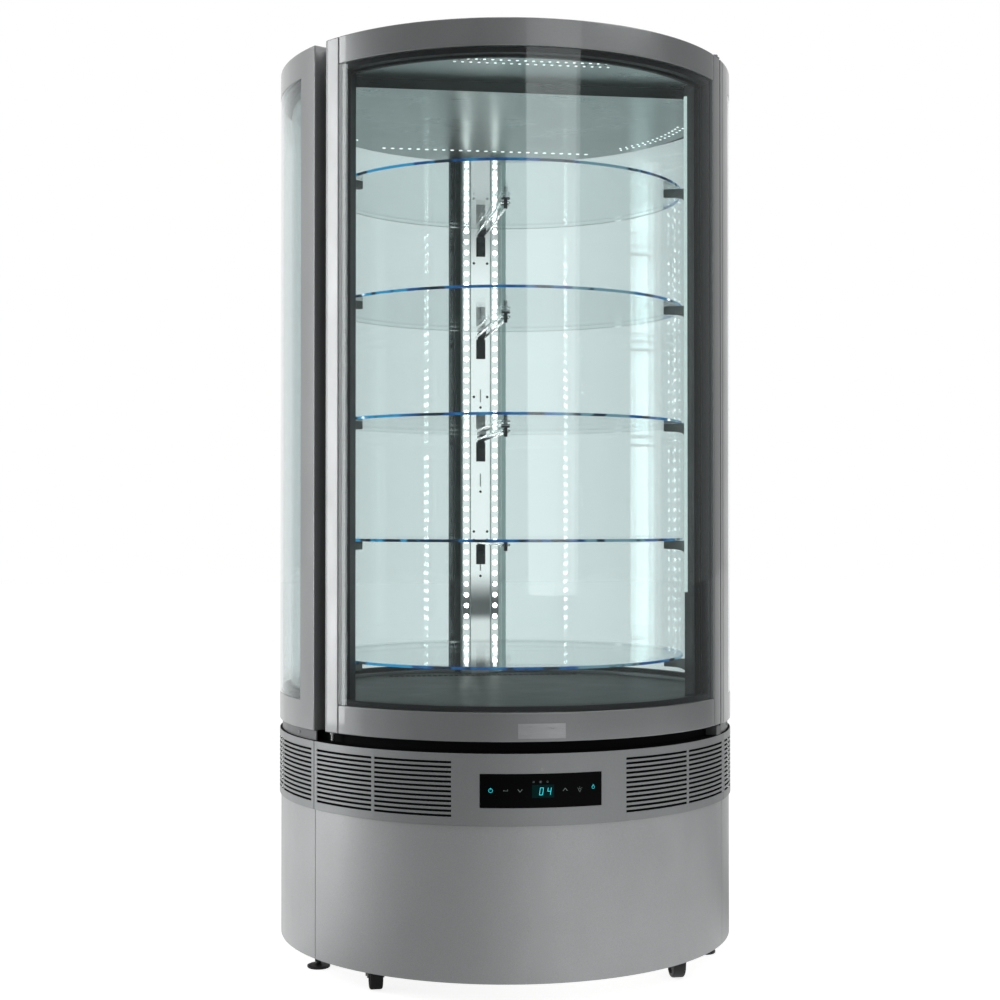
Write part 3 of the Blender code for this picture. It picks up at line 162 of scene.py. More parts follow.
class Bench:
    """The modelling tools. Each works on one object, and leaves it in object mode."""

    @staticmethod
    def take(thing: Piece | None = None) -> None:
        """Select nothing but the object in hand.

        Args:
            thing: the object; without it nothing stays selected.
        """
        bpy.ops.object.select_all(action="DESELECT")
        if thing is not None:
            thing.select_set(True)
            bpy.context.view_layer.objects.active = thing

    @staticmethod
    def edit(thing: Piece) -> None:
        """Open an object in edit mode with everything selected.

        Args:
            thing: the object.
        """
        Bench.take(thing)
        bpy.ops.object.mode_set(mode="EDIT")
        bpy.ops.mesh.select_all(action="SELECT")

    @staticmethod
    def close() -> None:
        """Go back to object mode."""
        bpy.ops.object.mode_set(mode="OBJECT")

    @staticmethod
    def fresh(name: str) -> Piece:
        """Name the primitive that was just added, and put its place into its mesh.

        Args:
            name: the piece's name.

        Returns:
            The new object, at the origin.
        """
        thing = bpy.context.object
        thing.name = name
        thing.data.name = name
        Bench.take(thing)
        bpy.ops.object.transform_apply(location=True, rotation=True, scale=True)
        return thing

    @staticmethod
    def place(thing: Piece, matrix: Matrix) -> Piece:
        """Move an object's mesh by a matrix.

        Args:
            thing: the object, at the origin.
            matrix: where it goes.

        Returns:
            The same object.
        """
        Bench.take(thing)
        thing.matrix_world = matrix
        bpy.ops.object.transform_apply(location=True, rotation=True, scale=True)
        return thing

    @staticmethod
    def pick(thing: Piece, test: Callable[[Vector, Vector], bool]) -> None:
        """Select in edit mode the faces that pass a test.

        Args:
            thing: the object that is open in edit mode.
            test: told the middle and the normal of a face.
        """
        bpy.ops.mesh.select_mode(type="FACE")
        bpy.ops.mesh.select_all(action="DESELECT")
        for face in bmesh.from_edit_mesh(thing.data).faces:
            face.select_set(test(face.calc_center_median(), face.normal))
        bmesh.update_edit_mesh(thing.data)

    @staticmethod
    def trace(name: str, points: Sequence[Vector], outline: Outline) -> Piece:
        """Draw a run of corners by extruding one vertex after another.

        Args:
            name: the piece's name.
            points: the corners.
            outline: whether the run stays open, is closed, or is closed and filled.

        Returns:
            The new object.
        """
        Bench.take()
        bpy.ops.mesh.primitive_plane_add(size=0.01, location=ORIGIN)
        thing = Bench.fresh(name)
        Bench.edit(thing)
        bpy.ops.mesh.select_mode(type="VERT")
        bpy.ops.mesh.merge(type="COLLAPSE")
        bpy.ops.transform.translate(value=points[0])
        for before, after in zip(points, points[1:]):
            bpy.ops.mesh.extrude_vertices_move(TRANSFORM_OT_translate={"value": after - before})
        if outline is not Outline.LINE:
            bpy.ops.mesh.select_all(action="SELECT")
            bpy.ops.mesh.edge_face_add()
        if outline is Outline.LOOP:
            bpy.ops.mesh.delete(type="ONLY_FACE")
        Bench.close()
        return thing

    @staticmethod
    def sweep(thing: Piece, stops: Sequence[float], step: float = 2.5) -> None:
        """Spin a drawn section round the cabinet's axis.

        Args:
            thing: the section, at the first stop.
            stops: the angles to reach one after another, where edges are wanted.
            step: the widest facet.
        """
        Bench.edit(thing)
        for before, after in zip(stops, stops[1:]):
            count = max(1, math.ceil((after - before) / step - ROUNDING))
            bpy.ops.mesh.spin(steps=count, angle=-math.radians(after - before), center=ORIGIN, axis=(0, 0, 1))
        Bench.close()
        Bench.tidy(thing)

    @staticmethod
    def tidy(thing: Piece) -> None:
        """Merge doubled corners and turn the faces outwards.

        Args:
            thing: the object.
        """
        Bench.edit(thing)
        bpy.ops.mesh.remove_doubles(threshold=DOUBLED)
        bpy.ops.mesh.normals_make_consistent(inside=False)
        Bench.close()

    @staticmethod
    def solid(name: str, section: Sequence[Pair], first: float, last: float,
              step: float = 2.5) -> Piece:
        """A curved bar: a section in radius and height, spun from one angle to another.

        Args:
            name: the piece's name.
            section: the corners, as radius and height.
            first: where the bar starts.
            last: where it ends.
            step: the widest facet.

        Returns:
            The new object.
        """
        points = [polar(radius, first, height) for radius, height in section]
        whole = last - first > FULL_TURN - ROUNDING
        thing = Bench.trace(name, points, Outline.LOOP if whole else Outline.FACE)
        Bench.sweep(thing, (first, last), step)
        return thing

    @staticmethod
    def bar(name: str, radii: Pair, levels: Pair, ends: Pair, step: float) -> Piece:
        """A curved bar of a rectangular section.

        Args:
            name: the piece's name.
            radii: its outer and its inner radius.
            levels: its lower and its upper level.
            ends: the angles where it starts and ends.
            step: the widest facet.

        Returns:
            The new object.
        """
        (outer, inner), (low, high) = radii, levels
        return Bench.solid(name, [(inner, low), (outer, low), (outer, high), (inner, high)], *ends, step)

    @staticmethod
    def wall(name: str, stops: Sequence[float], levels: Sequence[float], outer: float, inner: float,
             windows: Callable[[float, float], bool] | None = None, step: float = 2.5) -> Piece:
        """A curved sheet with windows: a line of levels swept round, opened, and drawn inwards.

        Args:
            name: the piece's name.
            stops: the angles where the sheet has edges.
            levels: the heights where it has edges.
            outer: its outer radius.
            inner: its inner radius.
            windows: tells from a face's angle and height whether it is opened.
            step: the widest facet.

        Returns:
            The new object.
        """
        thing = Bench.trace(name, [polar(outer, stops[0], level) for level in levels], Outline.LINE)
        Bench.sweep(thing, stops, step)
        Bench.edit(thing)
        if windows is not None:
            Bench.pick(thing, lambda middle, _: windows(bearing(middle), middle.z))
            bpy.ops.mesh.delete(type="FACE")
            bpy.ops.mesh.select_all(action="SELECT")
        bpy.ops.mesh.extrude_region_move()
        share = inner / outer
        bpy.ops.transform.resize(value=(share, share, 1.0), center_override=ORIGIN)
        Bench.close()
        Bench.tidy(thing)
        return thing

    @staticmethod
    def row(thing: Piece, count: int, step: Sequence[float]) -> None:
        """Repeat an object in a row.

        Args:
            thing: the first of the row.
            count: how many there are.
            step: the way from one to the next.
        """
        Bench.modify(thing, "ARRAY", count=count, use_relative_offset=False, use_constant_offset=True,
                     constant_offset_displace=step)

    @staticmethod
    def paint(thing: Piece, base: bpy.types.Material, other: bpy.types.Material,
              test: Callable[[Vector, Vector], bool]) -> None:
        """Give an object a material, and some of its faces another one.

        Args:
            thing: the object, still without a material.
            base: the material of most of its faces.
            other: the material of the faces that pass the test.
            test: told the middle and the normal of a face.
        """
        thing.data.materials.append(base)
        thing.data.materials.append(other)
        Bench.edit(thing)
        Bench.pick(thing, test)
        thing.active_material_index = 1
        bpy.ops.object.material_slot_assign()
        Bench.close()

    @staticmethod
    def plate(name: str, corners: Sequence[Vector], along: Vector) -> Piece:
        """A flat outline, filled and drawn out.

        Args:
            name: the piece's name.
            corners: the outline.
            along: the way and length that it is drawn out.

        Returns:
            The new object.
        """
        thing = Bench.trace(name, corners, Outline.FACE)
        Bench.edit(thing)
        bpy.ops.mesh.extrude_region_move(TRANSFORM_OT_translate={"value": along})
        Bench.close()
        Bench.tidy(thing)
        return thing

    @staticmethod
    def box(name: str, low: Sequence[float], high: Sequence[float], edge: float = 0.0) -> Piece:
        """A block between two corners, with softened edges.

        Args:
            name: the piece's name.
            low: its lowest corner.
            high: its highest corner.
            edge: how wide its edges are bevelled.

        Returns:
            The new object.
        """
        low, high = Vector(low), Vector(high)
        Bench.take()
        bpy.ops.mesh.primitive_cube_add(size=1.0, location=(low + high) / 2, scale=high - low)
        thing = Bench.fresh(name)
        if edge:
            Bench.soften(thing, edge)
        return thing

    @staticmethod
    def rod(name: str, start: Sequence[float], end: Sequence[float], radius: float, corners: int = 16,
            edge: float = 0.0) -> Piece:
        """A round bar between two points, with softened ends.

        Args:
            name: the piece's name.
            start: the middle of one end.
            end: the middle of the other.
            radius: its radius.
            corners: how many sides it has.
            edge: how wide its ends are bevelled.

        Returns:
            The new object.
        """
        start, end = Vector(start), Vector(end)
        along = end - start
        Bench.take()
        bpy.ops.mesh.primitive_cylinder_add(vertices=corners, radius=radius, depth=along.length,
                                            location=(start + end) / 2,
                                            rotation=along.to_track_quat("Z", "Y").to_euler())
        thing = Bench.fresh(name)
        if edge:
            Bench.soften(thing, edge)
        return thing

    @staticmethod
    def modify(thing: Piece, kind: str, **settings: object) -> None:
        """Add a modifier and apply it.

        Args:
            thing: the object.
            kind: the modifier's type.
            settings: its settings.
        """
        Bench.take(thing)
        modifier = thing.modifiers.new(kind.title(), kind)
        for name, value in settings.items():
            setattr(modifier, name, value)
        bpy.ops.object.modifier_apply(modifier=modifier.name)

    @staticmethod
    def soften(thing: Piece, width: float, segments: int = 2) -> Piece:
        """Bevel an object's sharp edges.

        Args:
            thing: the object.
            width: how wide.
            segments: how many steps round an edge.

        Returns:
            The same object.
        """
        Bench.modify(thing, "BEVEL", width=width, segments=segments, limit_method="ANGLE",
                     angle_limit=math.radians(SHARP))
        return thing

    @staticmethod
    def join(name: str, things: Iterable[Piece]) -> Piece:
        """Make several objects one.

        Args:
            name: the whole's name.
            things: the objects.

        Returns:
            The joined object.
        """
        things = list(things)
        Bench.take(things[0])
        for thing in things:
            thing.select_set(True)
        if len(things) > 1:
            bpy.ops.object.join()
        things[0].name = name
        things[0].data.name = name
        return things[0]

    @staticmethod
    def copy(thing: Piece, name: str, matrix: Matrix) -> Piece:
        """A second object with its own mesh, moved by a matrix.

        Args:
            thing: the model.
            name: the copy's name.
            matrix: where the copy goes.

        Returns:
            The copy.
        """
        Bench.take(thing)
        bpy.ops.object.duplicate()
        twin = bpy.context.object
        twin.name = name
        twin.data.name = name
        return Bench.place(twin, matrix)

    @staticmethod
    def discard(thing: Piece) -> None:
        """Take a model away after it was copied."""
        Bench.take(thing)
        bpy.ops.object.delete()


@dataclass(frozen=True)
class Wire:
    """The value of a shader socket, with the arithmetic that the finishes use."""

    tree: bpy.types.NodeTree
    socket: bpy.types.NodeSocket | None

    @staticmethod
    def math(operation: str, *terms: Wire | float) -> Wire:
        """Add a Math node.

        Args:
            operation: the node's operation.
            terms: its values, at least one of them a wire.

        Returns:
            Its result.
        """
        tree = next(term.tree for term in terms if isinstance(term, Wire))
        node = tree.nodes.new("ShaderNodeMath")
        node.operation = operation
        for socket, term in zip(node.inputs, terms):
            if isinstance(term, Wire):
                tree.links.new(term.socket, socket)
            else:
                socket.default_value = term
        return Wire(tree, node.outputs[0])

    def __add__(self, other: Wire | float) -> Wire:
        """Sum."""
        return Wire.math("ADD", self, other)

    __radd__ = __add__

    def __sub__(self, other: Wire | float) -> Wire:
        """Difference."""
        return Wire.math("SUBTRACT", self, other)

    def __rsub__(self, other: float) -> Wire:
        """Difference from a number."""
        return Wire.math("SUBTRACT", other, self)

    def __mul__(self, other: Wire | float) -> Wire:
        """Product."""
        return Wire.math("MULTIPLY", self, other)

    __rmul__ = __mul__

    def __truediv__(self, other: Wire | float) -> Wire:
        """Quotient."""
        return Wire.math("DIVIDE", self, other)

    def __pow__(self, other: Wire | float) -> Wire:
        """Power."""
        return Wire.math("POWER", self, other)

    def over(self, edge: float) -> Wire:
        """1 where the value is above an edge."""
        return Wire.math("GREATER_THAN", self, edge)

    def highest(self, other: Wire | float) -> Wire:
        """The larger of two values."""
        return Wire.math("MAXIMUM", self, other)

    def lowest(self, other: Wire | float) -> Wire:
        """The smaller of two values."""
        return Wire.math("MINIMUM", self, other)


Value = Wire | float | tuple[float, ...]


class Recipe:
    """The node tree of one material or world."""

    def __init__(self, tree: bpy.types.NodeTree) -> None:
        """Start with an empty tree."""
        self.tree = tree
        tree.nodes.clear()

    def node(self, kind: str, settings: dict[str, object] | None = None,
             values: dict[str | int, Value] | None = None, output: str | int = 0) -> Wire:
        """Add any node.

        Args:
            kind: the node's type, without the prefix that all have.
            settings: its settings; stops are those of its ramp, as place and colour.
            values: the numbers or wires of its inputs.
            output: which of its outputs is wanted.

        Returns:
            That output.
        """
        node = self.tree.nodes.new("ShaderNode" + kind)
        for name, setting in (settings or {}).items():
            if name == "stops":
                while len(node.color_ramp.elements) < len(setting):
                    node.color_ramp.elements.new(0.5)
                for element, (position, shade) in zip(node.color_ramp.elements, setting):
                    element.position = position
                    element.color = (shade, shade, shade, 1.0)
            else:
                setattr(node, name, setting)
        for name, value in (values or {}).items():
            socket = node.inputs[name]
            if isinstance(value, Wire):
                self.tree.links.new(value.socket, socket)
            elif isinstance(value, tuple) and len(value) == 3 and socket.type == "RGBA":
                socket.default_value = (*value, 1.0)
            else:
                socket.default_value = value
        return Wire(self.tree, node.outputs[output] if len(node.outputs) else None)

    def place(self, kind: str = "Object") -> Wire:
        """The coordinates of a kind."""
        return self.node("TexCoord", output=kind)

    def axis(self, vector: Wire, name: str) -> Wire:
        """One part of a vector."""
        return self.node("SeparateXYZ", values={"Vector": vector}, output=name)

    def ray(self, kind: str) -> Wire:
        """1 where the ray is of a kind."""
        return self.node("LightPath", output=f"Is {kind} Ray")

    def share(self, value: Wire, first: float, last: float) -> Wire:
        """How far a value is on the way between two others, from 0 to 1."""
        return self.node("MapRange", values={"Value": value, "From Min": first, "From Max": last})

    def facing(self, vector: Wire, way: Triple) -> Wire:
        """How well a direction agrees with another, from 0 to 1."""
        return self.node("VectorMath", {"operation": "DOT_PRODUCT"}, {0: vector, 1: way}, "Value").highest(0.0)

    def noise(self, scale: float, detail: float = 3.0, stretch: Triple = (1.0, 1.0, 1.0)) -> Wire:
        """Noise of a scale, from 0 to 1, stretched along each axis."""
        spot = self.node("Mapping", values={"Vector": self.place(), "Scale": stretch})
        return self.node("TexNoise", values={"Vector": spot, "Scale": scale, "Detail": detail})

    def height(self) -> Wire:
        """The height above the floor."""
        return self.axis(self.place(), "Z")

    def arc(self) -> Wire:
        """The angle from the front round the cabinet, in radians."""
        place = self.place()
        return Wire.math("ARCTAN2", self.axis(place, "X"), -1.0 * self.axis(place, "Y"))

    def blend(self, factor: Wire, low: Value, high: Value) -> Wire:
        """A colour between two others.

        Args:
            factor: how far it is along the way.
            low: the colour at 0.
            high: the colour at 1.

        Returns:
            The mixed colour.
        """
        node = self.tree.nodes.new("ShaderNodeMix")
        node.data_type = "RGBA"
        self.tree.links.new(factor.socket, node.inputs["Factor"])
        for socket, value in ((node.inputs[MIX_LOW], low), (node.inputs[MIX_HIGH], high)):
            if isinstance(value, Wire):
                self.tree.links.new(value.socket, socket)
            else:
                socket.default_value = (*value, 1.0)
        return Wire(self.tree, node.outputs[MIX_RESULT])

    def relief(self, height: Wire, strength: float, distance: float) -> Wire:
        """A bumped normal from a height."""
        return self.node("Bump", values={"Height": height, "Strength": strength, "Distance": distance})

    def finish(self, shader: Wire, kind: str = "OutputMaterial") -> None:
        """Join a shader to the output."""
        self.node(kind, values={"Surface": shader})


def shaded(colour: Triple, share: float) -> Triple:
    """A colour made lighter or darker by a share."""
    return tuple(min(1.0, part * share) for part in colour)


@dataclass(frozen=True)
class Finish:
    """A surface finish. Its material is made once, and shared by the pieces that have it."""

    name: str
    slot: str

    def material(self) -> bpy.types.Material:
        """The finish's material.

        Returns:
            The material, made at the first call.
        """
        known = bpy.data.materials.get(self.name)
        if known is not None:
            return known
        made = bpy.data.materials.new(self.name)
        made.use_nodes = True
        recipe = Recipe(made.node_tree)
        recipe.finish(self.mix(recipe))
        return made

    def mix(self, recipe: Recipe) -> Wire:
        """The finish's shader."""
        raise NotImplementedError


@dataclass(frozen=True)
class SatinMetal(Finish):
    """Fine-grained metallic coating, with cloudy tone, a faint orange peel and rubbed patches."""

    colour: Triple = (0.2, 0.2, 0.2)
    metallic: float = 0.5
    roughness: float = 0.4
    grain: float = 900.0
    depth: float = 0.12
    coat: float = 0.12
    coat_roughness: float = 0.22

    def mix(self, recipe: Recipe) -> Wire:
        """Tone from clouds and grain, gloss from rubbed patches.

        Args:
            recipe: the material's tree.

        Returns:
            The shader.
        """
        grain = recipe.noise(self.grain, 2.0)
        cloud = recipe.noise(5.0, 4.0)
        rubbed = recipe.noise(24.0, 5.0, (1.0, 1.0, 0.35))
        tone = (grain - 0.5) * 0.75 + (cloud - 0.5) * 0.35 + 0.5
        base = recipe.blend(tone, shaded(self.colour, 0.72), shaded(self.colour, 1.30))
        rough = (rubbed - 0.5) * 0.22 + (grain - 0.5) * 0.16 + self.roughness
        normal = recipe.relief(grain + cloud * 0.6, self.depth, 0.0006)
        return recipe.node("BsdfPrincipled", values={
            "Base Color": base, "Roughness": rough, "Normal": normal, "Metallic": self.metallic,
            "Coat Weight": self.coat, "Coat Roughness": self.coat_roughness})


@dataclass(frozen=True)
class BrushedSteel(Finish):
    """Brushed or milled sheet metal, with fine lines along one axis and smudges, and where asked a painted shade on
    faces that look to the front.
    """

    colour: Triple = (0.45, 0.47, 0.46)
    roughness: float = 0.3
    lines: Triple = (0.02, 1.0, 1.0)
    metallic: float = 0.95
    # Share of the colour kept on faces that look to the front (-Y); below 1 it is a painted shade.
    front: float = 1.0

    def mix(self, recipe: Recipe) -> Wire:
        """Tone and gloss from the brushing, with smudges over it; faces that look to the front may get a painted
        shade.

        Args:
            recipe: the material's tree.

        Returns:
            The shader.
        """
        lines = recipe.noise(1400.0, 2.0, self.lines)
        coarse = recipe.noise(260.0, 3.0, self.lines)
        smudge = recipe.noise(9.0, 5.0)
        tone = (lines - 0.5) * 0.8 + (coarse - 0.5) * 0.5 + 0.5
        base = recipe.blend(tone, shaded(self.colour, 0.78), shaded(self.colour, 1.18))
        # Painted shade: faces whose normal looks to the front (-Y) get a darker base colour.
        if self.front < 1.0:
            normal = recipe.node("NewGeometry", output="True Normal")
            north = recipe.axis(normal, "Y")
            base = recipe.blend((-1.0 * north).over(0.5), base, shaded(self.colour, self.front))
        rough = (lines - 0.5) * 0.14 + (smudge - 0.5) * 0.18 + self.roughness
        normal = recipe.relief(lines + coarse * 0.5, 0.10, 0.0004)
        return recipe.node("BsdfPrincipled", values={
            "Base Color": base, "Roughness": rough, "Normal": normal, "Metallic": self.metallic})


@dataclass(frozen=True)
class Moulded(Finish):
    """Plastic, rubber, foam or cast metal with a fine skin, dust in its tone and uneven gloss."""

    colour: Triple = (0.02, 0.02, 0.02)
    roughness: float = 0.5
    metallic: float = 0.0
    grain: float = 300.0
    depth: float = 0.2
    gloss: float = 0.5

    def mix(self, recipe: Recipe) -> Wire:
        """Tone from dust, relief from the skin's grain.

        Args:
            recipe: the material's tree.

        Returns:
            The shader.
        """
        grain = recipe.noise(self.grain, 3.0)
        dust = recipe.noise(14.0, 6.0)
        base = recipe.blend(dust * 0.7 + grain * 0.3, shaded(self.colour, 0.65), shaded(self.colour, 1.6))
        rough = (dust - 0.5) * 0.25 + (grain - 0.5) * 0.15 + self.roughness
        normal = recipe.relief(grain, self.depth, 0.0005)
        return recipe.node("BsdfPrincipled", values={
            "Base Color": base, "Roughness": rough, "Normal": normal, "Metallic": self.metallic,
            "Specular IOR Level": self.gloss})


@dataclass(frozen=True)
class Fins(Finish):
    """A finned coil: thin upright sheets with dark gaps, their darkness painted shade."""

    colour: Triple = (0.5, 0.51, 0.52)
    # Colour of the gaps between the fins: painted shade for the shade deep between them.
    gap: Triple = (0.02, 0.02, 0.02)
    pitch: float = 0.0028
    bend: float = 0.0016

    def mix(self, recipe: Recipe) -> Wire:
        """Bright fins over gaps darkened by painted shade, bent here and there.

        Args:
            recipe: the material's tree.

        Returns:
            The shader.
        """
        east = recipe.axis(recipe.place(), "X")
        bent = recipe.noise(18.0, 3.0) * self.bend
        phase = Wire.math("FRACT", (east + bent) * (1.0 / self.pitch))
        fin = Wire.math("SMOOTH_MAX", 1.0 - Wire.math("ABSOLUTE", phase - 0.5) * 3.0, 0.0, 0.3)
        tone = fin * (recipe.noise(30.0, 3.0) * 0.6 + 0.6)
        # The gaps get the painted shade colour, the fins their own.
        base = recipe.blend(tone, self.gap, self.colour)
        normal = recipe.relief(fin, 0.8, 0.001)
        return recipe.node("BsdfPrincipled", values={
            "Base Color": base, "Roughness": 0.62 - tone * 0.2, "Normal": normal, "Metallic": 0.8})


@dataclass(frozen=True)
class Pane(Finish):
    """Clear glass: what is behind shows through its tint, and its faces mirror at a slant."""

    tint: Triple = (0.976, 0.998, 0.996)
    shine: float = 0.04
    edgeways: float = 0.93

    def mix(self, recipe: Recipe) -> Wire:
        """Tint behind, mirror in front, with wiped smears in the gloss.

        Args:
            recipe: the material's tree.

        Returns:
            The shader.
        """
        smear = recipe.noise(7.0, 6.0, (1.0, 1.0, 0.3))
        slant = recipe.node("LayerWeight", values={"Blend": 0.5}, output="Facing")
        sheen = slant ** 5.0 * (1.0 - self.shine) + self.shine
        square = recipe.node("BsdfTransparent", values={"Color": self.tint})
        slanted = recipe.node("BsdfTransparent", values={"Color": shaded(self.tint, self.edgeways)})
        clear = recipe.node("MixShader", values={0: slant, 1: square, 2: slanted})
        base = recipe.blend(smear, (0.88, 0.93, 0.93), (0.97, 1.0, 1.0))
        mirror = recipe.node("BsdfPrincipled", values={
            "Base Color": base, "Metallic": 1.0, "Roughness": smear * 0.012 + 0.003})
        return recipe.node("MixShader", values={0: sheen, 1: clear, 2: mirror})


@dataclass(frozen=True)
class PaintedGlowRim(Finish):
    """The polished rim of a glass shelf, in painted light: a painted blue glow in front with dark breaks, a thin grey
    glowing line behind with painted glints.

    A stretch round the rim is the angle of its middle and its half length, in radians.
    """

    deep: Triple = (0.001, 0.070, 0.25)
    bright: Triple = (0.015, 0.18, 0.38)
    azure: Triple = (0.020, 0.29, 0.56)
    pale: Triple = (0.13, 0.26, 0.32)
    unlit: Triple = (0.001, 0.010, 0.025)
    grey: Triple = (0.16, 0.20, 0.20)
    painted_glint: Triple = (0.95, 1.0, 1.0)
    azure_runs: tuple[Pair, ...] = ((-1.030, 0.370),)
    pale_runs: tuple[Pair, ...] = ((0.420, 0.200), (1.060, 0.090))
    breaks: tuple[Pair, ...] = (
        (-1.250, 0.035), (-1.030, 0.045), (-0.490, 0.050), (0.075, 0.042), (1.270, 0.060))
    painted_glints: tuple[Pair, ...] = ((2.232, 0.026), (-2.960, 0.020))
    crisp: float = 60.0
    shift: float = 0.16
    rear: float = 1.80
    line: float = 0.0024
    margin: float = 0.001

    def runs(self, arc: Wire, places: tuple[Pair, ...]) -> Wire:
        """A mask of stretches round the rim.

        Args:
            arc: the angle round the cabinet.
            places: the middle and half length of each stretch.

        Returns:
            One inside the stretches, with soft ends.
        """
        reach = None
        for place, half in places:
            share = (half - Wire.math("ABSOLUTE", arc - place)) * self.crisp + 0.5
            reach = share if reach is None else reach.highest(share)
        return reach.highest(0.0).lowest(1.0)

    def mix(self, recipe: Recipe) -> Wire:
        """Painted glow in stretches along the front, and a glowing line with short painted glints along the rear.

        Args:
            recipe: the material's tree.

        Returns:
            The shader.
        """
        arc = recipe.arc()
        level = recipe.height()
        lowest, pitch = SIZES.shelves()[0], SIZES.shelf_pitch
        run = recipe.node("CombineXYZ", values={"X": arc * 3.4, "Y": level * 9.0})
        patch = recipe.node("TexNoise", values={"Vector": run, "Scale": 2.2, "Detail": 3.0})
        pale = recipe.node("ValToRGB", {"stops": ((0.50, 0.0), (0.66, 1.0))}, {"Fac": patch})
        dark = recipe.node("ValToRGB", {"stops": ((0.39, 1.0), (0.45, 0.0))}, {"Fac": patch})
        behind = Wire.math("ABSOLUTE", arc).over(self.rear)
        shifted = arc + (Wire.math("FRACT", level * 7.3) - 0.5) * self.shift
        glow = recipe.blend(pale, self.deep, self.bright)
        glow = recipe.blend(self.runs(shifted, self.azure_runs), glow, self.azure)
        glow = recipe.blend(self.runs(shifted, self.pale_runs), glow, self.pale)
        dark = dark.highest(self.runs(shifted, self.breaks))
        glow = recipe.blend(dark, glow, self.unlit)
        rear = recipe.blend(self.runs(arc, self.painted_glints), self.grey, self.painted_glint)
        rim = Wire.math("FRACT", (level - lowest + self.margin) / pitch) * pitch - self.margin
        # Painted light: the rim's emission stands in for light caught in the glass edge; the rim is no lamp.
        solid = recipe.node("BsdfPrincipled", values={
            "Base Color": recipe.blend(behind, (0.003, 0.02, 0.04), self.grey), "Roughness": 0.10 + patch * 0.08,
            "Emission Color": recipe.blend(behind, glow, rear), "Emission Strength": 1.0})
        clear = recipe.node("BsdfTransparent", values={"Color": (0.90, 0.93, 0.925)})
        return recipe.node("MixShader", values={0: behind * rim.over(self.line), 1: solid, 2: clear})


@dataclass(frozen=True)
class Glow(Finish):
    """A lamp, a lit strip or a lit sign; on parts that are no lamps, such as the right rear cover, the post's glow
    bar, the ceiling eyelets and the unlit signs, its glow is painted light.
    """

    colour: Triple = (1.0, 1.0, 1.0)
    strength: float = 1.0
    unlit: Triple = (0.6, 0.62, 0.62)
    gloss: float = 0.5

    def material(self) -> bpy.types.Material:
        """The finish's material, which isn't sampled as a lamp.

        Returns:
            The material, made at the first call.
        """
        made = super().material()
        made.cycles.emission_sampling = "NONE"
        return made

    def mix(self, recipe: Recipe) -> Wire:
        """Light with a slightly uneven level.

        Args:
            recipe: the material's tree.

        Returns:
            The shader.
        """
        uneven = recipe.noise(60.0, 3.0)
        glow = recipe.blend(uneven, shaded(self.colour, 0.82), self.colour)
        base = recipe.blend(uneven, shaded(self.unlit, 0.8), self.unlit)
        return recipe.node("BsdfPrincipled", values={
            "Base Color": base, "Roughness": uneven * 0.2 + 0.3, "Specular IOR Level": self.gloss,
            "Emission Color": glow, "Emission Strength": self.strength})


@dataclass(frozen=True)
class PaintedGlowSheet(Glow):
    """Sheet whose glow follows the height: on the column plate a painted reflection of the bright room, on the light
    strips their own glow, both with a painted dark band near the foot and a duller top.
    """

    end: Pair = (0.534, 0.546)
    foot: Pair = (0.640, 0.665)
    rise: Pair = (0.685, 0.768)
    top: Pair = (1.42, 1.62)

    def mix(self, recipe: Recipe) -> Wire:
        """Painted glow that follows the height.

        Args:
            recipe: the material's tree.

        Returns:
            The shader.
        """
        def share(ends: Pair, low: float, high: float) -> Wire:
            """A soft step between two heights."""
            return recipe.node("MapRange", {"interpolation_type": "SMOOTHSTEP"}, {
                "Value": recipe.height(), "From Min": ends[0], "From Max": ends[1], "To Min": low, "To Max": high})

        # Painted shade: the glow's level drops to a dark band near the foot and dulls towards the top.
        level = (share(self.foot, 0.79, 0.08) + share(self.rise, 0.0, 0.92)) * share(self.top, 1.0, 0.34)
        level = level * share(self.end, 0.1, 1.0)
        smear = recipe.noise(9.0, 4.0)
        glow = recipe.blend(level * (smear * 0.12 + 0.94), (0.0, 0.0, 0.0), self.colour)
        return recipe.node("BsdfPrincipled", values={
            "Base Color": recipe.blend(smear, shaded(self.unlit, 0.8), self.unlit), "Roughness": smear * 0.2 + 0.2,
            "Emission Color": glow, "Emission Strength": self.strength})


FRAME_GREY = SatinMetal("frame_grey", "steel_grey", (0.300, 0.311, 0.316), roughness=0.38, coat=0.7,
                        coat_roughness=0.05)
BAND_GREY = SatinMetal("band_grey", "steel_grey", (0.345, 0.358, 0.363), roughness=0.44)
SKIRT_GREY = SatinMetal("skirt_grey_coat", "skirt_grey", (0.49, 0.502, 0.508), grain=700.0, depth=0.2)
POST_DARK = SatinMetal("post_dark", "dark_metal", (0.030, 0.034, 0.034), metallic=0.40, roughness=0.42)
NECK_GREY = SatinMetal("neck_grey", "dark_metal", (0.16, 0.165, 0.17), roughness=0.42)
# Ceiling liner: faces that look to the front get a painted shade (front=0.25).
LINER_STEEL = BrushedSteel("liner_steel", "stainless", (0.31, 0.355, 0.35), front=0.25)
COLUMN_STEEL = BrushedSteel("column_steel", "stainless", (0.46, 0.53, 0.52), roughness=0.34,
                            lines=(1.0, 1.0, 0.015), metallic=0.7)
PLATE_SATIN = BrushedSteel("plate_satin", "steel_grey", (0.44, 0.45, 0.46), roughness=0.32)
CHROME = BrushedSteel("arm_chrome", "chrome", (0.90, 0.94, 0.94), roughness=0.14, lines=(1.0, 0.02, 1.0),
                      metallic=0.8)
SCREW_ZINC = BrushedSteel("screw_zinc", "zinc", (0.42, 0.43, 0.43), lines=(1.0, 1.0, 1.0))
SHEET_ZINC = BrushedSteel("sheet_zinc", "zinc", (0.50, 0.50, 0.48), roughness=0.36, lines=(0.05, 1.0, 1.0))
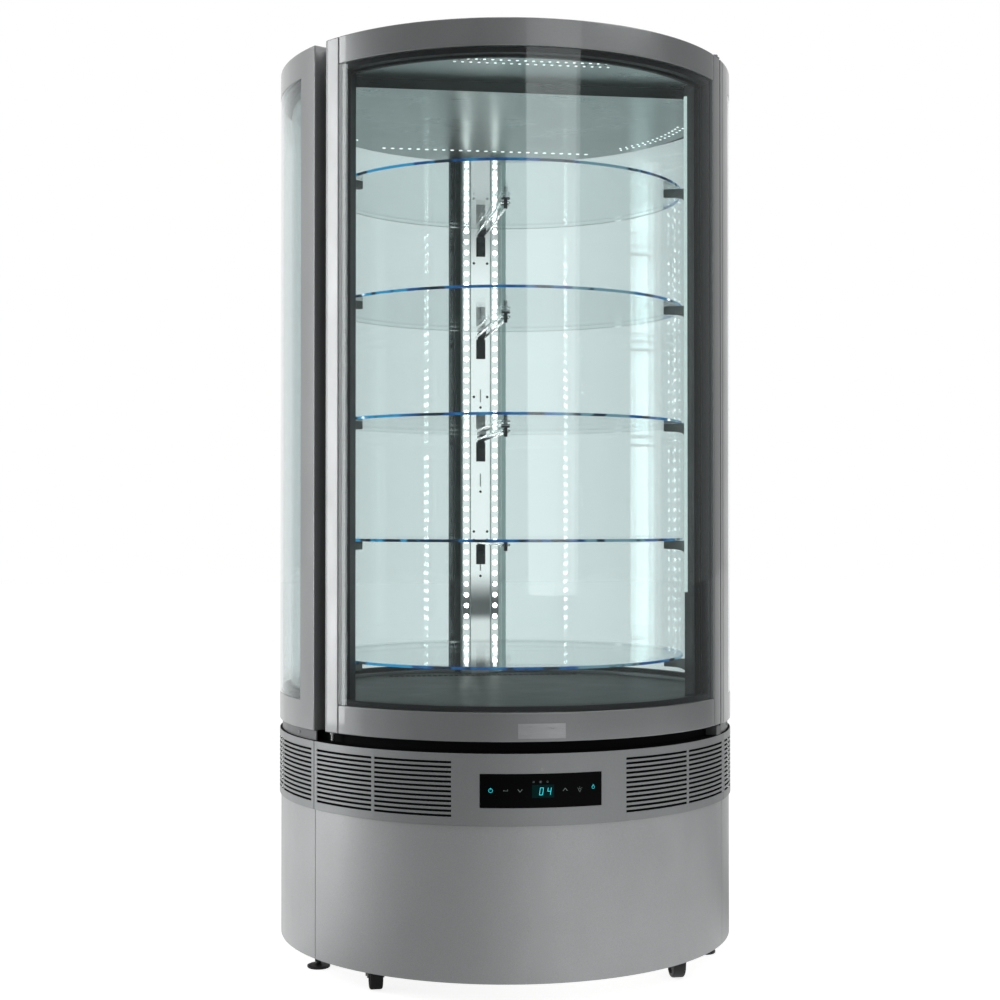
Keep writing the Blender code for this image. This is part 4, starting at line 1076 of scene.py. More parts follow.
FLOOR_STEEL = Moulded("floor_steel", "stainless", (0.042, 0.057, 0.053), grain=700.0, depth=0.06, gloss=0.12)
# Left rear cover: a darker copy of the right one, painted shade.
COVER_PAINTED_SHADE = Moulded("cover_painted_shade", "dark_metal", (0.078, 0.108, 0.103), roughness=0.60, depth=0.02, gloss=0.2)
# Deck ring: near-black, painted shade for the recess under the door.
RING_PAINTED_SHADE = Moulded("ring_painted_shade", "dark_metal", (0.006, 0.006, 0.007), roughness=0.80, gloss=0.10)
SPACER = Moulded("pane_spacer", "dark_metal", (0.010, 0.011, 0.013), roughness=0.55, gloss=0.25)
CAST_DARK = Moulded("cast_dark", "dark_metal", (0.030, 0.034, 0.036), roughness=0.40, metallic=0.5)
BRACKET_GREY = Moulded("bracket_grey", "dark_metal", (0.085, 0.100, 0.098), roughness=0.45, metallic=0.3)
# Finger recess sheet: near-black, painted shade.
RECESS_PAINTED_SHADE = Moulded("recess_shade_black", "rubber", (0.004, 0.004, 0.005), roughness=0.75, gloss=0.15)
RUBBER = Moulded("door_rubber", "rubber", (0.010, 0.011, 0.012), roughness=0.62, grain=420.0)
TYRE = Moulded("tyre_rubber", "rubber", (0.014, 0.014, 0.015), roughness=0.60, grain=260.0, depth=0.3)
BLACK_PLASTIC = Moulded("black_plastic_skin", "black_plastic", (0.016, 0.017, 0.018), roughness=0.42, grain=500.0)
POT_BLACK = Moulded("pot_black", "black_plastic", (0.018, 0.018, 0.019), roughness=0.36, grain=180.0)
# Black sheet behind the band's slots and black blocks for the floor's air slots: painted shade.
SHADE_BLACK = Moulded("lining_black", "black_plastic", (0.006, 0.007, 0.008), roughness=0.80, grain=900.0,
                       depth=0.4, gloss=0.1)
PANEL_BLACK = Moulded("panel_black", "black_glass", (0.0015, 0.0017, 0.002), roughness=0.12, grain=30.0,
                      depth=0.02, gloss=0.04)
FOAM_SKIN = Moulded("foam_skin", "foam", (0.62, 0.58, 0.43), roughness=0.85, grain=120.0, depth=0.5)
COIL_FINS = Fins("coil_fins", "coil")
CLEAR_PANE = Pane("clear_pane", "clear_glass")
SIDE_PANE = Pane("side_pane", "clear_glass", (0.955, 0.980, 0.981))
SHELF_PANE = Pane("shelf_pane", "clear_glass", (0.985, 0.995, 0.994), shine=0.03)
# Shelf rims: painted glow and painted glints in place of light caught in the glass edge.
SHELF_RIM = PaintedGlowRim("shelf_rim", "clear_glass")
LAMP = Glow("lamp_white", "clear_glass", (1.0, 1.0, 0.98), strength=10.0)
POST_LAMP = Glow("post_lamp_white", "clear_glass", (1.0, 1.0, 0.98), strength=22.0)
# Column plate: a glow that is no lamp, a painted reflection of the bright room, with painted shade near its foot and
# top.
PLATE_PAINTED_REFLECTION = PaintedGlowSheet("plate_painted_reflection", "stainless", (0.94, 0.985, 0.975), strength=0.98, unlit=(0.12, 0.14, 0.14))
# Light strip bars: their own glow, with the same painted dark band near the foot and duller top.
STRIP = PaintedGlowSheet("strip_white", "clear_glass", (0.95, 1.0, 0.99), strength=0.86, unlit=(0.08, 0.10, 0.10))
# Right rear cover and the end of the right spacer: a pale glow that is no lamp, painted light.
COVER_PAINTED_LIGHT = Glow("cover_painted_light", "stainless", (0.80, 1.0, 0.97), strength=0.22, unlit=(0.60, 0.72, 0.70))
# Glowing bar on the right post's front edge, no lamp: painted highlight.
POST_PAINTED_GLOW = Glow("post_painted_glow", "clear_glass", (0.66, 0.80, 0.77))
# Ceiling eyelets glow though they are no lamps: painted highlight.
STUD_PAINTED_HIGHLIGHT = Glow("stud_painted_highlight", "stainless", (0.96, 1.0, 0.99), strength=1.7)
SIGN_CYAN = Glow("sign_cyan", "black_glass", (0.02, 0.72, 0.80), strength=1.3, unlit=(0.02, 0.1, 0.1))
# Unlit signs with a faint glow though they are no lamps: painted light.
SIGN_UNLIT_PAINTED_GLOW = Glow("sign_dim", "black_glass", (0.12, 0.15, 0.15), strength=0.8, unlit=(0.03, 0.03, 0.03))
DISPLAY = Glow("display_teal", "black_glass", (0.0, 0.012, 0.012), unlit=(0.001, 0.002, 0.002), gloss=0.04)


def settle(piece: Piece, finish: Finish, *nodes: str, body: str = "cabinet") -> None:
    """Dress a finished piece and give it its place in the frame.

    Args:
        piece: the piece.
        finish: its finish.
        nodes: the frame's nodes that it stands for.
        body: the body that it rides on.
    """
    Bench.take(piece)
    bpy.ops.object.shade_smooth_by_angle(angle=math.radians(SMOOTH))
    Bench.modify(piece, "WEIGHTED_NORMAL", keep_sharp=True)
    if not piece.data.materials:
        piece.data.materials.append(finish.material())
    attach(piece, body)
    if nodes:
        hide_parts(*nodes)
    LOG.info("%s: %d faces on %s", piece.name, len(piece.data.polygons), body)


@dataclass
class Screw:
    """A pan-head screw with a cross in its head, modelled once and copied."""

    radius: float = 0.003
    height: float = 0.0014
    model: Piece = field(init=False)

    def __post_init__(self) -> None:
        """Model the head at the origin, facing -Y."""
        rounding, bar, slot = self.radius * 0.28, self.radius * 0.62, self.radius * 0.13
        self.model = Bench.rod("screw_model", (0, 0.0004, 0), (0, -self.height, 0), self.radius, 20, rounding)
        face, bottom = -self.height - 0.0002, -self.height * 0.55
        cross = [Bench.box(name, (-wide, face, -tall), (wide, bottom, tall))
                 for name, wide, tall in (("screw_bar", bar, slot), ("screw_post", slot, bar))]
        for cutter in cross:
            Bench.modify(self.model, "BOOLEAN", operation="DIFFERENCE", object=cutter, solver="EXACT")
            Bench.discard(cutter)

    def copies(self, name: str, places: Sequence[Matrix]) -> Piece:
        """The screws of a sub-assembly, as one piece.

        Args:
            name: the piece's name.
            places: where each head goes.

        Returns:
            The joined heads.
        """
        return Bench.join(name, [Bench.copy(self.model, f"{name}_{index}", place)
                                 for index, place in enumerate(places)])


def opening(levels: Sequence[float], stops: Sequence[float]) -> Callable[[float, float], bool]:
    """The opening that a curved frame has between its middle stops and levels.

    Args:
        levels: the four heights of the frame, from the lowest up.
        stops: its four angles.

    Returns:
        The test that tells from a face's angle and height whether it lies in the opening.
    """
    return lambda angle, level: stops[1] < angle < stops[2] and levels[1] < level < levels[2]


@dataclass(frozen=True)
class DoublePane:
    """A curved double pane: an outer and an inner sheet, and the spacer bar round their edge."""

    first: float
    last: float
    clearance: float = 0.04
    fit: float = 0.0003
    sheets: tuple[Pair, ...] = ((0.464, 0.459), (0.442, 0.438))
    spacer_radii: Pair = (0.4587, 0.4423)
    spacer_width: float = 0.010

    @property
    def ends(self) -> Pair:
        """Where the glass starts and ends."""
        return self.first + self.clearance, self.last - self.clearance

    @property
    def levels(self) -> Pair:
        """The lower and the upper edge of the glass."""
        return SIZES.rail_top + self.fit, SIZES.head_bottom - self.fit

    def glaze(self, body: str, finish: Finish, names: Sequence[tuple[str, str]]) -> None:
        """Build the two sheets.

        Args:
            body: the body that they ride on.
            finish: their finish.
            names: the piece and the node of the outer and of the inner sheet.
        """
        for (name, node), radii in zip(names, self.sheets):
            pane = Bench.bar(name, radii, self.levels, self.ends, 1.5)
            settle(Bench.soften(pane, 0.0006, 1), finish, node, body=body)

    def spacer(self, name: str) -> Piece:
        """Build the bar round the edge, between the two sheets.

        Args:
            name: the piece's name.

        Returns:
            The bar.
        """
        (first, last), (low, high) = self.ends, self.levels
        turn = SIZES.turn(self.spacer_width)
        stops = [first + 0.05, first + turn, last - turn, last - 0.05]
        levels = [low + 0.0005, low + self.spacer_width, high - self.spacer_width, high - 0.0005]
        bar = Bench.wall(name, stops, levels, *self.spacer_radii, opening(levels, stops))
        return Bench.soften(bar, 0.0008, 1)


@dataclass
class Door:
    """The curved door: stiles, rails, panes, spacer, gasket, bare plate and stop pin."""

    edge: float = 0.0025
    joint: float = 0.02
    seal_left: float = 0.006
    seal_right: float = 0.024
    seal_foot: float = 0.022
    seal_head: float = 0.043
    seal_width: float = 0.022
    plate_half: float = 5.4
    plate_levels: Pair = (0.4835, 0.5106)
    pin_radius: float = 0.4535
    pin_turn: float = 1.2
    pin_foot: float = 0.4605

    def build(self) -> None:
        """Build the whole door."""
        left = SIZES.door_left + SIZES.stile
        right = SIZES.door_right - SIZES.stile
        self.bars(left, right)
        pane = DoublePane(left, right)
        pane.glaze("door", CLEAR_PANE, [(f"door_{word}_glass_pane", f"door_{word}_glass")
                                        for word in ("outer", "inner")])
        settle(pane.spacer("door_spacer"), SPACER, body="door")
        self.seal()
        self.fittings()

    def bars(self, left: float, right: float) -> None:
        """The stiles at the finger recess and at the hinge, and the two rails between them.

        Args:
            left: where the rails start.
            right: where they end.
        """
        radii = (SIZES.face, SIZES.frame_inner)
        rails = (left + self.joint, right - self.joint)
        low, high = SIZES.door_bottom, SIZES.top
        for node, ends, levels in (
                ("door_latch_stile", (SIZES.door_left, left - self.joint), (low, high)),
                ("door_hinge_stile", (right + self.joint, SIZES.door_right), (low, high)),
                ("door_bottom_rail", rails, (low, SIZES.rail_top)),
                ("door_top_rail", rails, (SIZES.head_bottom, high))):
            bar = Bench.bar(node + "_bar", radii, levels, ends, 1.25)
            settle(Bench.soften(bar, self.edge, 3), FRAME_GREY, node, body="door")

    def seal(self) -> None:
        """The magnetic gasket, with a groove round its face."""
        first = SIZES.door_left + SIZES.turn(self.seal_left)
        last = SIZES.door_right - SIZES.turn(self.seal_right)
        low, high = SIZES.door_bottom + self.seal_foot, SIZES.top - self.seal_head
        side = SIZES.turn(self.seal_width, SIZES.gasket_outer) * 0.8
        stops = [first, first + side, last - side, last]
        levels = [low, low + self.seal_width, high - self.seal_width, high]
        ring = Bench.wall("door_gasket_seal", stops, levels, SIZES.gasket_outer, SIZES.gasket_inner,
                          opening(levels, stops))
        Bench.edit(ring)
        Bench.pick(ring, lambda middle, normal: normal.xy.dot(middle.xy) < -0.3)
        bpy.ops.mesh.inset(thickness=0.005, depth=-0.0015, use_boundary=True)
        Bench.close()
        settle(Bench.soften(ring, 0.002), RUBBER, "door_gasket", body="door")

    def fittings(self) -> None:
        """The bare plate on the lower rail and the stop pin under the latch stile."""
        plate = Bench.wall("door_plate_blank", (-self.plate_half, self.plate_half), self.plate_levels,
                           SIZES.body - 0.00002, SIZES.face - 0.0005)
        settle(Bench.soften(plate, 0.0003), PLATE_SATIN, body="door")
        root, foot, ledge = (polar(self.pin_radius, SIZES.door_left + self.pin_turn, level) for level in (
            SIZES.door_bottom + 0.001, self.pin_foot, SIZES.door_bottom - 0.005))
        pin = Bench.rod("door_stop_pin", root, foot, 0.0028, 16, 0.0008)
        collar = Bench.rod("door_stop_collar", root, ledge, 0.0045, 16, 0.0008)
        settle(Bench.join("door_stop_pin", (pin, collar)), SCREW_ZINC, body="door")


@dataclass
class SidePanel:
    """A curved side frame with its double pane, from the front seam to the rear one."""

    side: Side
    stile: float = 0.058
    edge: float = 0.0025
    neck_screws: tuple[float, ...] = (69.0, 96.0, 123.0, 150.0, 174.0)
    screw_level: float = 0.4665
    painted_light_width: float = 0.0105
    cover_end: float = 179.8
    cover_top: float = 1.7156
    cover_radii: Pair = (0.4369, 0.4358)
    filler_ends: Pair = (58.30, 60.05)
    filler_radii: Pair = (0.4642, 0.4555)

    def build(self, screw: Screw) -> None:
        """Build the frame, its panes and its screws.

        Args:
            screw: the model of its screws.
        """
        near = SIZES.sector + SIZES.seam
        far = SIZES.back - SIZES.seam
        window = self.side.span(near + SIZES.turn(self.stile), far - SIZES.turn(self.stile))
        self.frame(self.side.span(near, far), window)
        self.panes(window)
        self.trims()
        heads = [turned(self.side.value * angle) @ Matrix.Translation((0, -SIZES.side_neck, self.screw_level))
                 for angle in self.neck_screws]
        settle(screw.copies(f"neck_screws_{self.side.word}", heads), SCREW_ZINC)

    def frame(self, ends: Pair, window: Pair) -> None:
        """The frame, as one curved piece round its window.

        Args:
            ends: where the frame starts and ends.
            window: where its window does.
        """
        levels = [SIZES.upper_bottom, SIZES.rail_top, SIZES.head_bottom, SIZES.top]
        stops = [ends[0], *window, ends[1]]
        thing = Bench.wall(f"side_panel_{self.side.word}", stops, levels, SIZES.face, SIZES.frame_inner,
                           opening(levels, stops))
        settle(Bench.soften(thing, self.edge, 3), FRAME_GREY, f"side_frame_{self.side.word}")

    def panes(self, window: Pair) -> None:
        """The double pane; the rear bar of the right spacer glows pale with painted light, like the cover beside it.

        Args:
            window: where the frame's window starts and ends.
        """
        hand = self.side.word
        pane = DoublePane(*window)
        pane.glaze("cabinet", SIDE_PANE, [(f"side_{word}_pane_{hand}", f"side_{word}_glass_{hand}")
                                          for word in ("outer", "inner")])
        spacer = pane.spacer(f"side_spacer_{hand}")
        # The rear end of the right spacer gets the cover's painted light.
        if self.side is Side.RIGHT:
            start = pane.ends[1] - SIZES.turn(self.painted_light_width)
            Bench.paint(spacer, SPACER.material(), COVER_PAINTED_LIGHT.material(), lambda middle, _: bearing(middle) > start)
        settle(spacer, SPACER)

    def trims(self) -> None:
        """The inner cover of the rear stile, darker on the left as painted shade and glowing pale on the right as
        painted light, and on the hinge side the filler beside the door.
        """
        ends = self.side.span(SIZES.back - SIZES.seam - SIZES.turn(self.stile), self.cover_end)
        cover = Bench.wall(f"rear_cover_{self.side.word}", ends, (SIZES.post_bottom, self.cover_top),
                           *self.cover_radii)
        # Left cover with painted shade, right cover with painted light.
        settle(Bench.soften(cover, 0.0004, 1), COVER_PAINTED_SHADE if self.side is Side.LEFT else COVER_PAINTED_LIGHT)
        if self.side is Side.RIGHT:
            levels = (SIZES.door_bottom, SIZES.top - 0.0006)
            filler = Bench.bar("hinge_filler", self.filler_radii, levels, self.filler_ends, 1.0)
            settle(Bench.soften(filler, 0.0008), FRAME_GREY)


@dataclass
class Band:
    """The slotted machine band in three sheets."""

    rows: int = 12
    first_slot: float = 0.34126
    pitch: float = 0.00878
    slot: float = 0.0042
    block: float = 20.0
    rib: float = 0.0065
    margin: float = 0.010
    window_half: float = 0.1133
    window_rows: tuple[int, int] = (2, 9)
    window_drop: float = 0.001
    lining_top: float = 0.4455
    lining_radii: Pair = (0.4592, 0.4586)

    def levels(self) -> list[Pair]:
        """The lower and upper edge of each row."""
        return [(self.first_slot + row * self.pitch, self.first_slot + row * self.pitch + self.slot)
                for row in range(self.rows)]

    def blocks(self, start: float, end: float, lead: float) -> list[Pair]:
        """The angles of each block of slots.

        Args:
            start: where the first block's rib stands.
            end: the sheet's end.
            lead: how far the first slot stands from the start, in degrees.

        Returns:
            The ends of each block.
        """
        half, tail = SIZES.turn(self.rib) / 2, SIZES.turn(self.margin)
        found = []
        left = start
        while left < end - self.block / 2:
            right = left + self.block
            found.append((left + (lead if left == start else half), right - (tail if right > end - half else half)))
            left = right
        return found

    def sheet(self, name: str, ends: Pair, blocks: list[Pair], node: str,
              window: tuple[float, float, float, float] | None = None) -> None:
        """One sheet of the band.

        Args:
            name: the piece's name.
            ends: where the sheet starts and ends.
            blocks: its blocks of slots.
            node: the frame's node that it stands for.
            window: the opening for the control glass.
        """
        rows = self.levels()
        stops = sorted({*ends, *[edge for block in blocks for edge in block], *(window[:2] if window else ())})
        levels = [SIZES.band_bottom, *[edge for row in rows for edge in row], SIZES.band_top]

        def opened(angle: float, level: float) -> bool:
            """Whether a face is a slot or the window."""
            if window and window[0] < angle < window[1]:
                return window[2] < level < window[3]
            return (any(first < angle < last for first, last in blocks)
                    and any(low < level < high for low, high in rows))

        thing = Bench.wall(name, stops, levels, SIZES.face, SIZES.band_inner, opened, 3.4)
        settle(Bench.soften(thing, 0.0004, 1), BAND_GREY, node)

    def build(self) -> None:
        """Build the front sheet and the two side sheets."""
        seam = SIZES.seam
        side = self.blocks(SIZES.sector, SIZES.back, SIZES.turn(self.margin))
        for hand in Side:
            ends = hand.span(SIZES.sector + seam, SIZES.back - seam)
            self.sheet(f"band_{hand.word}", ends, [hand.span(*block) for block in side], f"grille_{hand.word}")
        half = self.blocks(self.block, SIZES.sector, SIZES.turn(self.rib) / 2)
        front = [(-last, -first) for first, last in reversed(half)] + half
        glass = SIZES.turn(self.window_half)
        low, high = (self.levels()[row][0] - self.window_drop for row in self.window_rows)
        window = (-glass, glass, low, high)
        self.sheet("band_front", (-SIZES.sector + seam, SIZES.sector - seam), front, "grille_front", window)
        self.lining()

    def lining(self) -> None:
        """A black sheet behind the slots, open behind the control glass: painted shade that keeps the slots dark."""
        stops = (self.block, SIZES.back, FULL_TURN - self.block)
        mesh = Bench.wall("band_lining", stops, (SIZES.band_bottom + 0.0007, self.lining_top),
                          *self.lining_radii, step=3.0)
        settle(mesh, SHADE_BLACK)


@dataclass
class ControlPanel:
    """The black touch glass with its symbols and its two-figure display.

    A sign's place is its angle and its height.
    """

    half_width: float = 0.113
    levels: Pair = (0.3591, 0.4200)
    radii: Pair = (0.4648, 0.4632)
    mark_radius: float = 0.46492
    window_ends: Pair = (-2.26, 2.72)
    window_levels: Pair = (0.3770, 0.4003)
    window_radii: Pair = (0.46486, 0.46480)
    screw_level: float = 0.4285
    screw_depth: float = 0.0011
    pin_level: float = 0.3500
    power: Pair = (-11.5, 0.3905)
    enter: Pair = (-8.2, 0.3900)
    down: Pair = (-4.95, 0.3905)
    up: Pair = (5.27, 0.3905)
    light: Pair = (8.66, 0.3895)
    drop: Pair = (11.9, 0.3925)
    dots: tuple[Pair, ...] = ((-1.92, 0.4057), (1.23, 0.4057))
    star: Pair = (-0.35, 0.4057)
    figures: tuple[tuple[float, str], ...] = ((-0.15, "abcdef"), (1.62, "bcfg"))
    figure_level: float = 0.3886
    line: float = 0.0007
    fine: float = 0.0006
    finest: float = 0.0005
    bold: float = 0.0010
    boldest: float = 0.0011
    marks: list[Piece] = field(default_factory=list)

    def build(self, screw: Screw) -> None:
        """Build the glass, the signs and the screws above and below.

        Args:
            screw: the model of its screws.
        """
        half = SIZES.turn(self.half_width)
        glass = Bench.bar("control_touch_glass", self.radii, self.levels, (-half, half), 1.5)
        settle(Bench.soften(glass, 0.0004), PANEL_BLACK, "control_glass")
        window = Bench.wall("display_window", self.window_ends, self.window_levels, *self.window_radii, step=0.5)
        settle(window, DISPLAY)
        self.dim_signs()
        self.lit_signs()
        spot = Matrix.Translation((0, -SIZES.face + self.screw_depth, self.screw_level))
        settle(screw.copies("panel_screw", [spot]), SCREW_ZINC)
        pin = Bench.rod("panel_pin", (0, -0.4640, self.pin_level), (0, -0.4649, self.pin_level), 0.0012, 12, 0.0003)
        settle(pin, SCREW_ZINC)

    def stroke(self, start: Pair, end: Pair, width: float = 0.0) -> None:
        """A flat stroke of a sign, drawn at the origin.

        Args:
            start: its first end, across and up.
            end: its last end.
            width: how wide it is; the common line where it isn't given.
        """
        width = width or self.line
        low, high = Vector((start[0], 0.0, start[1])), Vector((end[0], 0.0, end[1]))
        along = high - low
        Bench.take()
        bpy.ops.mesh.primitive_plane_add(size=1.0, rotation=(math.pi / 2, 0, 0))
        thing = Bench.fresh("stroke")
        Bench.edit(thing)
        bpy.ops.transform.resize(value=(along.length, 1.0, width))
        Bench.close()
        tilt = Matrix.Rotation(-math.atan2(along.z, along.x), 4, "Y")
        self.marks.append(Bench.place(thing, Matrix.Translation((low + high) / 2) @ tilt))

    def ring(self, radius: float, width: float) -> None:
        """A ring sign, inset from a filled circle.

        Args:
            radius: its outer radius.
            width: how wide its line is.
        """
        Bench.take()
        bpy.ops.mesh.primitive_circle_add(vertices=28, radius=radius, fill_type="NGON",
                                          rotation=(math.pi / 2, 0, 0))
        thing = Bench.fresh("ring")
        Bench.edit(thing)
        bpy.ops.mesh.inset(thickness=width)
        bpy.ops.mesh.delete(type="FACE")
        Bench.close()
        self.marks.append(thing)

    def stick(self, angle: float, level: float) -> list[Piece]:
        """Put the strokes drawn so far on the glass.

        Args:
            angle: where the sign stands.
            level: how high.

        Returns:
            The placed strokes.
        """
        spot = turned(angle) @ Matrix.Translation((0.0, -self.mark_radius, level))
        placed = [Bench.place(mark, spot) for mark in self.marks]
        self.marks = []
        return placed

    def dim_signs(self) -> None:
        """The unlit signs: enter, two arrows, a lamp, two dots and a star, given a faint glow of painted light."""
        signs = []
        for start, end in (((-0.004, 0.0), (0.004, 0.0)), ((0.004, 0.0), (0.004, 0.0028)),
                           ((-0.004, 0.0), (-0.002, 0.0015))):
            self.stroke(start, end)
        signs += self.stick(*self.enter)
        for flip, place in ((-1, self.down), (1, self.up)):
            for across in (-1, 1):
                self.stroke((0.0, 0.0028 * flip), (0.0040 * across, -0.0022 * flip), self.boldest)
            signs += self.stick(*place)
        self.ring(0.0026, self.line)
        for across, up in ((0.0, 0.0055), (0.0045, 0.0034), (-0.0045, 0.0034)):
            self.stroke((across * 0.68, up * 0.68), (across, up))
        self.stroke((-0.0014, -0.0040), (0.0014, -0.0040))
        signs += self.stick(*self.light)
        for place in self.dots:
            self.ring(0.0016, self.finest)
            signs += self.stick(*place)
        for index in range(3):
            across, up = (0.0026 * wave(math.pi * index / 3) for wave in (math.cos, math.sin))
            self.stroke((across, up), (-across, -up), self.fine)
        signs += self.stick(*self.star)
        settle(Bench.join("signs_unlit", signs), SIGN_UNLIT_PAINTED_GLOW)

    def lit_signs(self) -> None:
        """The lit signs: power, drop, and the figures of the temperature."""
        signs = []
        self.ring(0.0038, self.fine)
        self.stroke((0.0, 0.0010), (0.0, 0.0048), self.fine)
        signs += self.stick(*self.power)
        self.ring(0.0027, self.finest)
        for across in (-1, 1):
            self.stroke((0.0024 * across, 0.0012), (0.0, 0.0054), self.finest)
        signs += self.stick(*self.drop)
        for angle, lit in self.figures:
            self.figure(lit)
            signs += self.stick(angle, self.figure_level)
        settle(Bench.join("signs_lit", signs), SIGN_CYAN)

    def figure(self, lit: str) -> None:
        """A seven-bar figure.

        Args:
            lit: the letters of its lit bars.
        """
        half, tall, lean = 0.0030, 0.0066, 0.0009
        spots = {"a": ((-1, 1), (1, 1)), "b": ((1, 1), (1, 0)), "c": ((1, 0), (1, -1)),
                 "d": ((1, -1), (-1, -1)), "e": ((-1, -1), (-1, 0)), "f": ((-1, 0), (-1, 1)),
                 "g": ((-1, 0), (1, 0))}
        for name in lit:
            start, end = ((across * half * 0.96 + up * lean, up * tall * 0.97) for across, up in spots[name])
            self.stroke(start, end, self.bold)


@dataclass
class Base:
    """The skirt, the deck ring, the castors and the levelling feet."""

    hem: float = 0.010
    fold: float = 0.0012
    ring_inner: float = 0.400
    ring_bottom: float = 0.4463
    castor_place: Pair = (0.28898, 0.28103)
    axle: Triple = (0.0, -0.022, 0.030)
    wheel_radius: float = 0.030
    wheel_half: float = 0.0125
    fork_half: float = 0.0133
    fork_sheet: float = 0.003
    foot_radius: float = 0.412
    foot_angle: float = 71.0
    threads: int = 30
    thread_pitch: float = 0.0018

    def build(self) -> None:
        """Build all of the base that shows."""
        self.skirts()
        self.ring()
        self.castors()
        self.feet()

    def skirts(self) -> None:
        """The three plain sheets, hemmed inwards along the floor."""
        outer, inner = SIZES.skirt, SIZES.skirt_inner
        low, high = SIZES.skirt_bottom, SIZES.skirt_top
        lip, fold = inner - self.hem, low + self.fold
        section = [(lip, low), (outer, low), (outer, high), (inner, high), (inner, fold), (lip, fold)]
        sheets = [("skirt_front", -SIZES.sector + SIZES.seam, SIZES.sector - SIZES.seam)]
        sheets += [(f"skirt_{hand.word}", *hand.span(SIZES.sector + SIZES.seam, SIZES.back - SIZES.seam))
                   for hand in Side]
        for node, first, last in sheets:
            sheet = Bench.solid(node + "_sheet", section, first, last, 2.0)
            settle(Bench.soften(sheet, 0.0005), SKIRT_GREY, node)

    def ring(self) -> None:
        """The deck ring, near-black as painted shade in the recess under the door, and a neck at each side."""
        inner, flange, neck = self.ring_inner, SIZES.flange, SIZES.door_neck
        low, ledge, high = self.ring_bottom, SIZES.band_top, SIZES.ring_top
        section = [(inner, low), (flange, low), (flange, ledge), (neck, ledge), (neck, high), (inner, high)]
        ring = Bench.solid("deck_ring_turned", section, 0.0, FULL_TURN, 3.0)
        settle(Bench.soften(ring, 0.0006, 1), RING_PAINTED_SHADE, "deck_ring")
        for hand in Side:
            ends = hand.span(SIZES.sector + SIZES.seam, SIZES.back - SIZES.seam)
            wall = Bench.wall(f"neck_{hand.word}", ends, (ledge + 0.0001, high - 0.0003),
                              SIZES.side_neck, SIZES.side_neck - 0.003)
            settle(Bench.soften(wall, 0.0004, 1), NECK_GREY)

    def castors(self) -> None:
        """Four swivel castors, modelled once each for fork and wheel."""
        models = (("fork", self.fork(), SHEET_ZINC), ("wheel", self.wheel(), TYRE))
        east, north = self.castor_place
        for place, x, y in (("front_left", -1, -1), ("front_right", 1, -1), ("rear_left", -1, 1),
                            ("rear_right", 1, 1)):
            spot = Matrix.Translation((east * x, north * y, 0.0))
            for part, model, finish in models:
                node = f"castor_{part}_{place}"
                settle(Bench.copy(model, f"castor_{place}_{part}", spot), finish, node, body=node)
        for _, model, _ in models:
            Bench.discard(model)

    def wheel(self) -> Piece:
        """A castor wheel: tyre, sunk side and hub, on its axle behind the swivel.

        Returns:
            The model.
        """
        axle = Vector(self.axle)
        side = Vector((self.wheel_half, 0.0, 0.0))
        tyre = Bench.rod("wheel_model", axle - side, axle + side, self.wheel_radius, 48)
        Bench.soften(tyre, 0.004, 3)
        Bench.edit(tyre)
        Bench.pick(tyre, lambda middle, normal: abs(normal.x) > 0.999)
        for inward, deep in ((0.004, 0.0), (0.002, -0.0035), (0.010, 0.0), (0.001, 0.003)):
            bpy.ops.mesh.inset(thickness=inward, depth=deep, use_individual=True)
        Bench.close()
        return tyre

    def fork(self) -> Piece:
        """A castor fork: bent sheet with shaped legs, ball race, stem, nut and axle bolt.

        Returns:
            The model.
        """
        near, far = self.fork_half, self.fork_half + self.fork_sheet
        back, front, bridge = -0.036, 0.014, 0.066
        outline = [(back, bridge), (back, 0.0605), (-0.0285, 0.0245), (-0.022, 0.0205), (-0.0155, 0.0245),
                   (0.010, 0.055), (front, bridge)]
        parts = []
        for side in (-1, 1):
            corners = [Vector((side * near, y, z)) for y, z in outline]
            leg = Bench.plate(f"fork_leg_{side}", corners, Vector((side * self.fork_sheet, 0, 0)))
            parts.append(Bench.soften(leg, 0.0006))
            bolt = Vector(self.axle) + Vector((side * far, 0, 0))
            parts.append(Bench.rod("fork_bolt", bolt, bolt + Vector((side * 0.0028, 0, 0)), 0.0055, 6, 0.0005))
        parts.append(Bench.box("fork_bridge", (-far, back, bridge), (far, front, bridge + 0.003), 0.0008))
        for name, low, high, radius, corners, edge in (
                ("fork_race", 0.069, 0.0755, 0.017, 32, 0.0018),
                ("fork_race_top", 0.0757, 0.0800, 0.0165, 32, 0.0012),
                ("fork_stem", 0.078, 0.1000, 0.005, 20, 0.0008),
                ("fork_nut", 0.0850, 0.0910, 0.0085, 6, 0.0006)):
            parts.append(Bench.rod(name, (0, 0, low), (0, 0, high), radius, corners, edge))
        side = Vector((near, 0, 0))
        parts.append(Bench.rod("fork_axle", Vector(self.axle) - side, Vector(self.axle) + side, 0.004, 16))
        return Bench.join("fork_model", parts)

